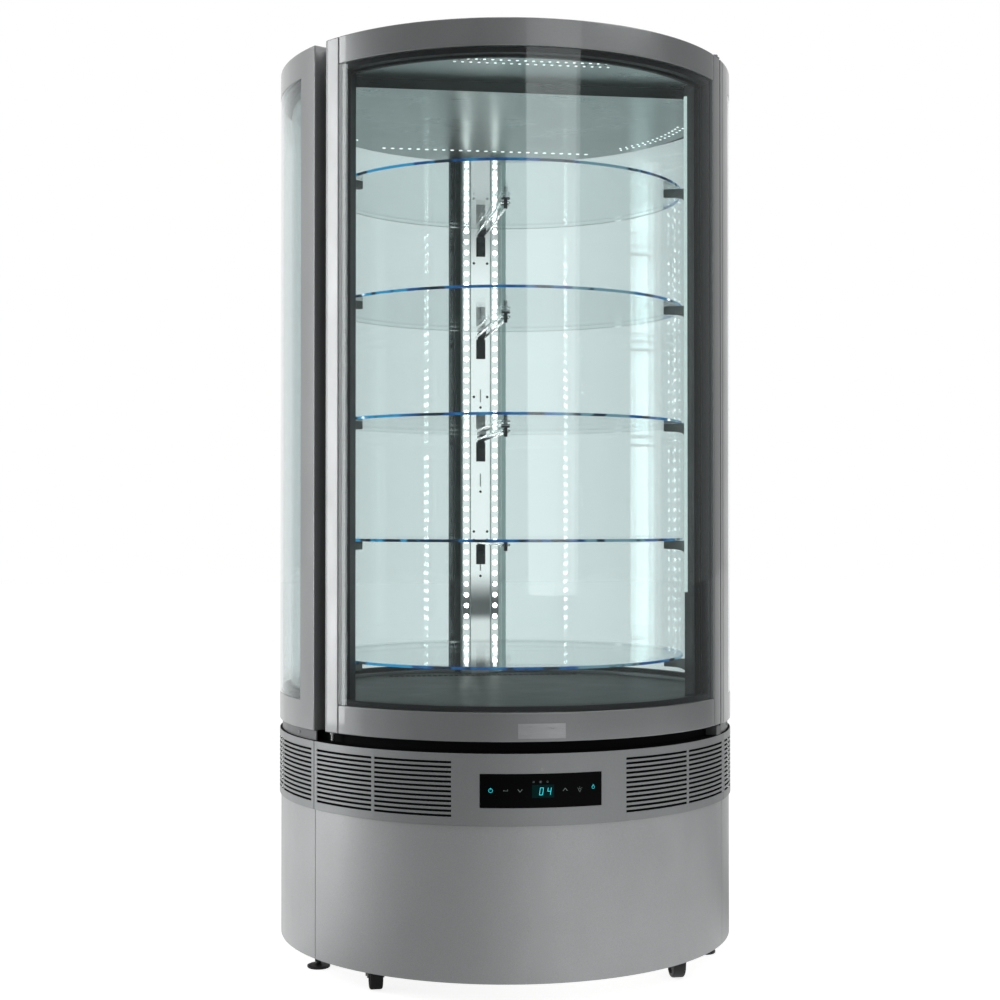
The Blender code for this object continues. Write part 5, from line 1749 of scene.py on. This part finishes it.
    def feet(self) -> None:
        """The two levelling feet, with ribbed disc, nut and threaded stem."""
        section = [(0.0, 0.0), (0.021, 0.0), (0.0225, 0.0015), (0.0225, 0.0045), (0.019, 0.0062),
                   (0.009, 0.0080), (0.0, 0.0080)]
        disc = Bench.trace("foot_model", [polar(radius, 0.0, height) for radius, height in section], Outline.LINE)
        Bench.sweep(disc, (0.0, FULL_TURN), 10.0)
        stem = Bench.rod("foot_stem", (0, 0, 0.006), (0, 0, 0.1043), 0.0047, 16, 0.0006)
        nut = Bench.rod("foot_nut", (0, 0, 0.012), (0, 0, 0.018), 0.0085, 6, 0.0006)
        lows = [0.020 + self.thread_pitch * index for index in range(self.threads)]
        thread = [Bench.rod("foot_thread", (0, 0, low), (0, 0, low + 0.0010), 0.005, 16, 0.00045) for low in lows]
        model = Bench.join("foot_model", (disc, stem, nut, *thread))
        for hand in Side:
            spot = Matrix.Translation(polar(self.foot_radius, hand.value * self.foot_angle))
            node = f"levelling_foot_{hand.word}"
            settle(Bench.copy(model, f"foot_{hand.word}", spot), BLACK_PLASTIC, node, body=node)
        Bench.discard(model)


@dataclass
class Interior:
    """Posts, rear column, light strips, floor and ceiling fittings."""

    lamp_pitch: float = 0.0248
    lamp_radius: float = 0.0055
    light_low: float = 0.5444
    light_high: float = 1.6959
    light_half: float = 0.0078
    light_depth: float = 0.0042
    post_start: float = 52.20
    post_step: float = 60.09
    post_back: float = 67.5
    post_front: float = 53.98
    post_light: Pair = (61.7, 0.3946)
    glow_ends: Pair = (53.30, 54.6)
    glow_radii: Pair = (0.4085, 0.4010)
    glow_rise: float = 0.192
    recess_stops: tuple[float, ...] = (-59.9, -58.9, -55.1)
    recess_radii: Pair = (0.4275, 0.4262)
    bracket_angle: float = 66.2
    bracket_ends: Pair = (-0.3355, -0.4012)
    bracket_half: float = 0.0060
    knob: float = -0.3880
    column_half: float = 0.043
    column_back: float = 0.4310
    column_light: float = 0.0332
    plate_half: float = 0.022
    slot_half: float = 0.0016
    first_hole: float = 0.749
    hole_pitch: float = 0.1955
    pair_levels: tuple[float, ...] = (0.852, 1.1645, 1.475)
    slot_count: int = 35
    slot_reach: float = 0.2105

    def build(self, screw: Screw) -> None:
        """Build what stands inside the glass.

        Args:
            screw: the model of its screws.
        """
        for hand in Side:
            self.post(hand)
        self.column(screw)
        self.studs()
        self.air_slots()
        self.side_studs()

    def strip(self, name: str, place: Matrix, shine: Finish) -> None:
        """A light strip: a lit bar with a row of lamps, the bar's glow carrying a painted dark band near its foot,
        drawn at the origin facing -Y and then placed.

        Args:
            name: the strip's name.
            place: where it goes; its face is at the origin.
            shine: the finish of its lamps.
        """
        half, low, high = self.light_half, self.light_low, self.light_high
        bar = Bench.box(name + "_bar", (-half, 0.0, low), (half, self.light_depth, high), 0.0012)
        settle(Bench.place(bar, place), STRIP)
        first = low + self.lamp_pitch / 2
        lamp = Bench.rod(name + "_lamps", (0, 0.0006, first), (0, -0.0014, first), self.lamp_radius, 20, 0.0010)
        Bench.row(lamp, int((high - low) / self.lamp_pitch), (0.0, 0.0, self.lamp_pitch))
        settle(Bench.place(lamp, place), shine)

    def post(self, hand: Side) -> None:
        """A front post, with its light strip and shelf brackets.

        Args:
            hand: which side it stands on.
        """
        def arc(radius: float, first: float, last: float) -> list[Vector]:
            """Corners along an arc of the post's section."""
            count = max(2, round(abs(last - first) / 1.5) + 1)
            return [polar(radius, first + (last - first) * index / (count - 1), SIZES.post_bottom)
                    for index in range(count)]

        corners = [*arc(SIZES.seal, self.post_start, self.post_step),
                   *arc(SIZES.side_fill, self.post_step, self.post_back),
                   *arc(SIZES.post_inner, self.post_back, self.post_front)]
        if hand is Side.LEFT:
            corners = [Vector((-point.x, point.y, point.z)) for point in corners]
        along = Vector((0, 0, SIZES.post_top - SIZES.post_bottom))
        post = Bench.plate(f"post_{hand.word}_wall", corners, along)
        settle(Bench.soften(post, 0.0012), POST_DARK, f"post_{hand.word}")
        angle, radius = self.post_light
        face = turned(hand.value * angle) @ Matrix.Translation((0, -radius, 0)) @ turned(SIZES.back)
        self.strip(f"post_light_{hand.word}", face, POST_LAMP)
        if hand is Side.LEFT:
            # Left post: a near-black sheet in the finger recess, painted shade for the dark gap beside the latch
            # stile.
            lining = Bench.wall("recess_shade_sheet", self.recess_stops, (SIZES.door_bottom, SIZES.top - 0.0008),
                                *self.recess_radii)
            settle(Bench.soften(lining, 0.0003, 1), RECESS_PAINTED_SHADE)
        else:
            # Right post: a glowing bar on its front edge, a painted highlight.
            levels = (self.light_low + self.glow_rise, SIZES.ceiling - 0.0004)
            glow = Bench.bar("post_painted_glow", self.glow_radii, levels, self.glow_ends, 1.3)
            settle(Bench.soften(glow, 0.0012), POST_PAINTED_GLOW)
        brackets = [self.bracket(hand, level) for level in SIZES.shelves()]
        settle(Bench.join(f"post_brackets_{hand.word}", brackets), BRACKET_GREY)

    def bracket(self, hand: Side, level: float) -> Piece:
        """A shelf bracket with a hollowed underside, a pad and a stop knob.

        Args:
            hand: the side of its post.
            level: the shelf's underside.

        Returns:
            The bracket.
        """
        top = level - 0.0004
        near, far = self.bracket_ends
        outline = [(near, top), *((near - back, top - down) for back, down in (
            (0.0, 0.0160), (0.026, 0.0172), (0.035, 0.0192), (0.042, 0.0228), (0.047, 0.0276))),
                   (far, top - 0.0280), (far, top)]
        corners = [Vector((-self.bracket_half, y, z)) for y, z in outline]
        arm = Bench.plate("bracket_arm", corners, Vector((2 * self.bracket_half, 0, 0)))
        spot = (0.0, self.knob)
        knob = Bench.rod("bracket_knob", (*spot, top - 0.001), (*spot, top + 0.0125), 0.0042, edge=0.0012)
        whole = Bench.join("bracket", (Bench.soften(arm, 0.0010), knob))
        return Bench.place(whole, turned(hand.value * self.bracket_angle))

    def column(self, screw: Screw) -> None:
        """The rear column: duct, slotted plate that glows with a painted reflection, two light strips and screws.

        Args:
            screw: the model of its screws.
        """
        half, low, high = self.column_half, SIZES.post_bottom, SIZES.post_top
        face = SIZES.column_face + 0.0015
        shell = Bench.box("column_duct", (-half, face, low), (half, self.column_back, high), 0.0015)
        settle(shell, COLUMN_STEEL, "rear_column")
        settle(Bench.soften(self.slotted_plate(low, high), 0.0003, 1), PLATE_PAINTED_REFLECTION)
        for hand in Side:
            spot = Matrix.Translation((hand.value * self.column_light, face - 0.0045, 0))
            self.strip(f"column_light_{hand.word}", spot, LAMP)
        spots = [(0.0, 0.0, hole) for hole in self.holes()]
        spots += [(side * 0.0155, 0.0, level) for side in (-1, 1) for level in self.pair_levels]
        spots += [(side * 0.0302, -0.003, 0.732) for side in (-1, 1)]
        heads = [Matrix.Translation((x, SIZES.column_face + y, level)) for x, y, level in spots]
        settle(screw.copies("column_screws", heads), CAST_DARK)

    def holes(self) -> list[float]:
        """The heights of the plate's middle screws."""
        return [self.first_hole + self.hole_pitch * index for index in range(SIZES.shelf_count)]

    def slotted_plate(self, low: float, high: float) -> Piece:
        """The face plate, with an upright slot over each middle screw.

        Args:
            low: its lower end.
            high: its upper end.

        Returns:
            The plate.
        """
        half, slit = self.plate_half, self.slot_half
        slots = [(hole + 0.012, hole + 0.042) for hole in self.holes()]
        levels = [low, *[edge for slot in slots for edge in slot], high]
        corners = [Vector((-half, SIZES.column_face, level)) for level in levels]
        plate = Bench.trace("column_plate", corners, Outline.LINE)
        Bench.edit(plate)
        for across in (half - slit, 2 * slit, half - slit):
            bpy.ops.mesh.extrude_region_move(TRANSFORM_OT_translate={"value": (across, 0, 0)})

        def slotted(middle: Vector, _: Vector) -> bool:
            """Whether a face is one of the slots."""
            return abs(middle.x) < slit and any(first < middle.z < last for first, last in slots)

        Bench.pick(plate, slotted)
        bpy.ops.mesh.delete(type="FACE")
        bpy.ops.mesh.select_all(action="SELECT")
        bpy.ops.mesh.extrude_region_move(TRANSFORM_OT_translate={"value": (0, 0.0014, 0)})
        Bench.close()
        Bench.tidy(plate)
        return plate

    @staticmethod
    def studs() -> None:
        """The eyelets of the straight perforated rows in the ceiling, glowing pale as painted highlights."""
        for name, y, half, level, pitch, radius in (
                ("ceiling_studs_front", -0.3720, 0.1388, 1.7363, 0.0154, 0.0028),
                ("ceiling_studs_front_2", -0.3500, 0.1465, 1.7363, 0.0154, 0.0028),
                ("ceiling_studs_rear", 0.3000, 0.2313, SIZES.ceiling, 0.0193, 0.0042)):
            count = round(2 * half / pitch) + 1
            stud = Bench.rod(name, (-half, y, level + 0.0010), (-half, y, level - 0.0006), radius, 12, 0.0005)
            Bench.row(stud, count, (2 * half / (count - 1), 0.0, 0.0))
            settle(stud, STUD_PAINTED_HIGHLIGHT)

    def air_slots(self) -> None:
        """The row of air slots at the rear of the floor, drawn as black blocks: painted shade in their openings."""
        left = -self.slot_reach
        slot = Bench.box("deck_slots", (left - 0.0041, 0.3290, SIZES.floor - 0.0010),
                         (left + 0.0041, 0.3530, SIZES.floor + 0.0006), 0.0002)
        Bench.row(slot, self.slot_count, (2 * self.slot_reach / (self.slot_count - 1), 0.0, 0.0))
        # The slots' black is painted shade.
        settle(slot, SHADE_BLACK)

    @staticmethod
    def side_studs() -> None:
        """The eyelets of the curved rows at the ceiling's sides, glowing as painted highlights."""
        level = SIZES.ceiling
        model = Bench.rod("stud_model", (0, 0, level + 0.0006), (0, 0, level - 0.0010), 0.0026, 10, 0.0005)
        for hand in Side:
            spots = [polar(radius, hand.value * (start + index * 2.75))
                     for radius, start in ((0.3740, 92.0), (0.3880, 93.4)) for index in range(14)]
            studs = [Bench.copy(model, "stud", Matrix.Translation(spot)) for spot in spots]
            settle(Bench.join(f"ceiling_studs_{hand.word}", studs), STUD_PAINTED_HIGHLIGHT)
        Bench.discard(model)


@dataclass
class Shelves:
    """Five round glass shelves with rims that glow with painted light, and their arms from the rear column."""

    glass: float = 0.0055
    rod_radius: float = 0.003
    rod_drop: float = 0.0101
    rod_end: float = 0.3946
    spread: float = 0.009
    pad_top: float = -0.0004
    rest_half: float = 0.0078

    def build(self) -> None:
        """Build every shelf and arm from one model each."""
        shelf, rods, fittings = self.disc(), self.hairpin(), self.fittings()
        for number, level in enumerate(SIZES.shelves(), 1):
            spot = Matrix.Translation((0, 0, level))
            settle(Bench.copy(shelf, f"shelf_disc_{number}", spot), SHELF_PANE, f"shelf_{number}")
            settle(Bench.copy(rods, f"shelf_rods_{number}", spot), CHROME, f"shelf_arm_{number}")
            settle(Bench.copy(fittings, f"shelf_fittings_{number}", spot), CAST_DARK)
        for model in (shelf, rods, fittings):
            Bench.discard(model)

    def disc(self) -> Piece:
        """A glass disc with a polished rim of its own finish.

        Returns:
            The model, with its underside at the origin.
        """
        disc = Bench.rod("shelf_model", (0, 0, 0), (0, 0, self.glass), SIZES.shelf, 144)
        Bench.soften(disc, 0.0004, 1)
        Bench.paint(disc, SHELF_PANE.material(), SHELF_RIM.material(), lambda _, normal: abs(normal.z) < 0.9)
        return disc

    def hairpin(self) -> Piece:
        """The two polished rods of an arm, bent into one at the shelf's centre.

        Returns:
            The model, for a shelf at the origin.
        """
        Bench.take()
        bpy.ops.mesh.primitive_circle_add(vertices=14, radius=self.rod_radius, fill_type="NGON",
                                          location=(-self.spread, self.rod_end, -self.rod_drop),
                                          rotation=(math.pi / 2, 0, 0))
        rod = Bench.fresh("arm_model")
        Bench.edit(rod)
        bpy.ops.mesh.extrude_region_move(TRANSFORM_OT_translate={"value": (0, -self.rod_end, 0)})
        bpy.ops.mesh.spin(steps=10, angle=-math.pi, center=(0, 0, -self.rod_drop), axis=(0, 0, 1))
        bpy.ops.mesh.extrude_region_move(TRANSFORM_OT_translate={"value": (0, self.rod_end, 0)})
        Bench.close()
        Bench.tidy(rod)
        return rod

    def fittings(self) -> Piece:
        """The dark fittings of an arm: the cross pin and pad in front, and the rear bracket.

        Returns:
            The model, for a shelf at the origin.
        """
        top, reach = self.pad_top, self.spread
        pad = Bench.rod("arm_pad", (0, -reach, top - 0.0034), (0, -reach, top), 0.0094, 28, 0.0010)
        stem = Bench.rod("arm_stem", (0, -reach, top - 0.0225), (0, -reach, top - 0.003), 0.0040, 16, 0.0008)
        cross = Bench.rod("arm_cross", (-reach, 0.004, top - 0.0110), (reach, 0.004, top - 0.0110), 0.0022, 14,
                          0.0006)
        outline = [(0.3508, top), (0.3508, top - 0.0065), (0.368, top - 0.0080), (0.382, top - 0.0140),
                   (0.3870, top - 0.0300), (0.3947, top - 0.0300), (0.3947, top)]
        corners = [Vector((-self.rest_half, y, z)) for y, z in outline]
        rest = Bench.soften(Bench.plate("arm_rest", corners, Vector((2 * self.rest_half, 0, 0))), 0.0012)
        block = Bench.box("arm_block", (-0.0105, 0.3872, top - 0.0600), (0.0105, 0.3948, top - 0.0150), 0.0010)
        return Bench.join("arm_fittings", (pad, stem, cross, rest, block))


@dataclass
class Head:
    """The roof and the hinge halves."""

    pivot_angle: float = 56.55
    pivot_radius: float = 0.457
    lid_radius: float = 0.390
    lid_rise: float = 0.0008
    screw_radius: float = 0.404
    plate_half: float = 0.013
    pin_radius: float = 0.0038
    plate_bottom: float = 1.7909
    plate_top: float = 1.7939

    def build(self, screw: Screw) -> None:
        """Build roof and hinges.

        Args:
            screw: the model of its screws.
        """
        self.roof(screw)
        self.upper_hinge()
        self.lower_hinge()

    def roof(self, screw: Screw) -> None:
        """The insulated roof, with a raised round lid and screws.

        Args:
            screw: the model of its screws.
        """
        low, high = SIZES.roof_bottom, SIZES.top - 0.0004
        shoulder = high - self.lid_rise
        front = [polar(SIZES.seal, -60.0 + 2.0 * index, low) for index in range(61)]
        rest = [polar(SIZES.side_fill, 60.0 + 3.0 * index, low) for index in range(81)]
        slab = Bench.soften(Bench.plate("roof_slab", front + rest, Vector((0, 0, shoulder - low))), 0.0006)
        lid = Bench.rod("roof_lid", (0, 0, shoulder - 0.0010), (0, 0, high), self.lid_radius, 120, 0.0004)
        settle(Bench.join("roof_panel", (slab, lid)), SKIRT_GREY, "roof_cap")
        upright = Matrix.Rotation(-math.pi / 2, 4, "X")
        heads = [turned(angle) @ Matrix.Translation((0, -self.screw_radius, shoulder)) @ upright
                 for angle in range(15, 375, 30)]
        settle(screw.copies("roof_screws", heads), SCREW_ZINC)

    def upper_hinge(self) -> None:
        """The hinge plate on the roof, with its cap, its pin and three screws."""
        half, pivot = self.plate_half, (0.0, -self.pivot_radius)
        plate = Bench.box("hinge_plate", (-half, -0.4635, self.plate_bottom), (half, -0.4055, self.plate_top), 0.0010)
        cap = Bench.rod("hinge_cap", (*pivot, 1.7935), (*pivot, 1.7964), 0.0064, 24, 0.0010)
        pin = Bench.rod("hinge_pin", (*pivot, 1.7766), (*pivot, 1.7920), self.pin_radius)
        screws = [Bench.rod("hinge_screw", (*spot, 1.7935), (*spot, 1.7949), 0.0028, edge=0.0006)
                  for spot in ((-0.007, -0.418), (0.007, -0.418), (0.0, -0.434))]
        whole = Bench.join("hinge_top_plate", (plate, cap, pin, *screws))
        settle(Bench.place(whole, turned(self.pivot_angle)), FRAME_GREY, "hinge_top")

    def lower_hinge(self) -> None:
        """The hinge block on the ring, with its pin and collar."""
        half, pivot = self.plate_half, (0.0, -self.pivot_radius)
        block = Bench.box("hinge_block", (-half, -0.4634, 0.4566), (half, -0.4403, 0.4750), 0.0016)
        pin = Bench.rod("hinge_lower_pin", (*pivot, 0.4740), (*pivot, 0.4908), self.pin_radius)
        collar = Bench.rod("hinge_collar", (*pivot, 0.4745), (*pivot, 0.4767), 0.0060, 24, 0.0005)
        whole = Bench.join("hinge_bottom_block", (block, pin, collar))
        settle(Bench.place(whole, turned(self.pivot_angle)), NECK_GREY, "hinge_bottom")


@dataclass
class Carried:
    """The frame's own nodes that keep their shape and get a finish."""

    finishes: dict[str, Finish] = field(default_factory=lambda: {
        "base_frame": SHEET_ZINC, "cord_gland": RUBBER, "compressor": POT_BLACK, "condenser": COIL_FINS,
        "condenser_fan_motor": CAST_DARK, "condenser_fan": BLACK_PLASTIC, "evaporator_coil": COIL_FINS,
        "evaporator_fan_motor": CAST_DARK, "evaporator_fan": BLACK_PLASTIC, "control_module": BLACK_PLASTIC,
        "insulated_deck": FOAM_SKIN, "deck_plate": FLOOR_STEEL, "ceiling_panel": LINER_STEEL})

    def dress(self) -> None:
        """Give each node its finish."""
        for name, finish in self.finishes.items():
            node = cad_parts[name]
            for slot in node.material_slots:
                slot.material = finish.material()
            LOG.info("%s: carried over as %s", name, finish.name)


@dataclass
class Studio:
    """Camera, lamps, floor and background."""

    camera_place: Triple = (-0.4994, -3.4273, 0.8770)
    yaw: float = 8.118
    pitch: float = 0.7146
    focal: float = 1660.65
    frame_side: float = 1000.0
    sensor: float = 36.0
    rim_way: Triple = (-0.906, 0.423, 0.0)
    glints: tuple[Triple, ...] = ((-115.0, 1.45, 4.0), (46.0, 1.20, 2.0))

    def build(self) -> None:
        """Set the whole studio."""
        self.camera()
        self.world()
        self.floor()
        self.lamps()
        scene = bpy.context.scene
        scene.view_settings.view_transform = "Standard"
        scene.cycles.transparent_max_bounces = 40

    def camera(self) -> None:
        """The camera that was fitted to the photograph."""
        data = bpy.data.cameras.new("studio_camera")
        data.sensor_fit = "HORIZONTAL"
        data.sensor_width = self.sensor
        data.lens = self.focal * self.sensor / self.frame_side
        data.clip_end = 60.0
        camera = bpy.data.objects.new("studio_camera", data)
        bpy.context.scene.collection.objects.link(camera)
        camera.location = self.camera_place
        camera.rotation_euler = (math.pi / 2 + math.radians(self.pitch), 0.0, -math.radians(self.yaw))
        bpy.context.scene.camera = camera

    def world(self) -> None:
        """White behind the object for the camera and for mirrors, and a plain soft level elsewhere."""
        world = bpy.data.worlds.new("studio_world")
        bpy.context.scene.world = world
        world.use_nodes = True
        recipe = Recipe(world.node_tree)
        way = recipe.place("Generated")
        east = recipe.axis(way, "X")
        back = recipe.share(recipe.axis(way, "Y"), -0.10, 0.45)
        right = recipe.share(east, 0.50, 0.85)
        left = recipe.share(east, -0.45, -0.75)
        behind = back * (0.95 - right * 0.72 - left * 0.30)
        rim = recipe.facing(way, self.rim_way) ** 2.0
        camera, mirror, glass = (recipe.ray(kind) for kind in ("Camera", "Glossy", "Transmission"))
        shown = (camera + glass + mirror * behind).lowest(1.0)
        level = shown + (1.0 - shown) * (0.14 + (rim * 0.55 + 0.08) * (1.0 - mirror))
        shader = recipe.node("Background", values={"Color": (1.0, 1.0, 1.0), "Strength": level})
        recipe.finish(shader, "OutputWorld")

    def floor(self) -> None:
        """A pale floor that turns white in the light and keeps the object's shadow."""
        Bench.take()
        bpy.ops.mesh.primitive_plane_add(size=40.0, location=ORIGIN)
        floor = Bench.fresh("studio_floor")
        material = bpy.data.materials.new("studio_floor")
        material.use_nodes = True
        recipe = Recipe(material.node_tree)
        camera, mirror, glass = (recipe.ray(kind) for kind in ("Camera", "Glossy", "Transmission"))
        way = recipe.node("VectorMath", {"operation": "NORMALIZE"}, {0: recipe.place()})
        glint = recipe.share(recipe.axis(way, "Y"), 0.35, 0.70) + 0.14
        span = recipe.node("VectorMath", {"operation": "LENGTH"}, {0: recipe.place()}, "Value")
        near = recipe.share(span, 4.6, 3.0)
        for aim, share, power in self.glints:
            glint = glint + recipe.facing(way, tuple(polar(1.0, aim))) ** power * near * share
        shown = (camera + glass * 0.82 + mirror * glint.lowest(1.0)).lowest(1.0)
        tone = recipe.blend(recipe.noise(3.0), (0.62, 0.62, 0.62), (0.64, 0.64, 0.64))
        tone = recipe.blend(mirror * 0.6, tone, (0.0, 0.0, 0.0))
        lit = recipe.node("BsdfPrincipled", values={
            "Base Color": tone, "Roughness": 0.9, "Specular IOR Level": 0.0, "Emission Color": (1.0, 1.0, 1.0),
            "Emission Strength": shown * 0.84})
        recipe.finish(lit)
        floor.data.materials.append(material)

    @staticmethod
    def lamps() -> None:
        """Five soft boxes: left behind, right in front, beside the camera, far right and overhead."""
        for name, place, aim, (wide, tall), power in (
                ("soft_left", (-3.908, 0.411, 1.50), 1.5, (0.93, 2.90), 48.0),
                ("soft_right", (2.0, -1.7, 3.2), 0.8, (1.50, 1.50), 13.0),
                ("soft_front", (0.95, -3.78, 1.85), 1.1, (1.68, 2.6), 13.0),
                ("soft_strip", (7.50, -2.80, 1.50), 1.5, (0.95, 3.40), 7.5),
                ("soft_top", (0.0, -0.8, 3.4), 1.0, (1.8, 1.8), 14.0)):
            data = bpy.data.lights.new(name, "AREA")
            data.shape = "RECTANGLE"
            data.size, data.size_y, data.energy = wide, tall, power
            lamp = bpy.data.objects.new(name, data)
            bpy.context.scene.collection.objects.link(lamp)
            lamp.location = place
            way = Vector((0.0, 0.0, aim)) - Vector(place)
            lamp.rotation_euler = way.to_track_quat("-Z", "Y").to_euler()
            lamp.visible_camera = False


def main() -> None:
    """Build every sub-assembly on the frame, then the studio."""
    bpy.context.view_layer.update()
    screw = Screw()
    Base().build()
    Band().build()
    ControlPanel().build(screw)
    Interior().build(screw)
    Shelves().build()
    for hand in Side:
        SidePanel(hand).build(screw)
    Door().build()
    Head().build(screw)
    Bench.discard(screw.model)
    Carried().dress()
    Studio().build()


if __name__ == "__main__":
    main()
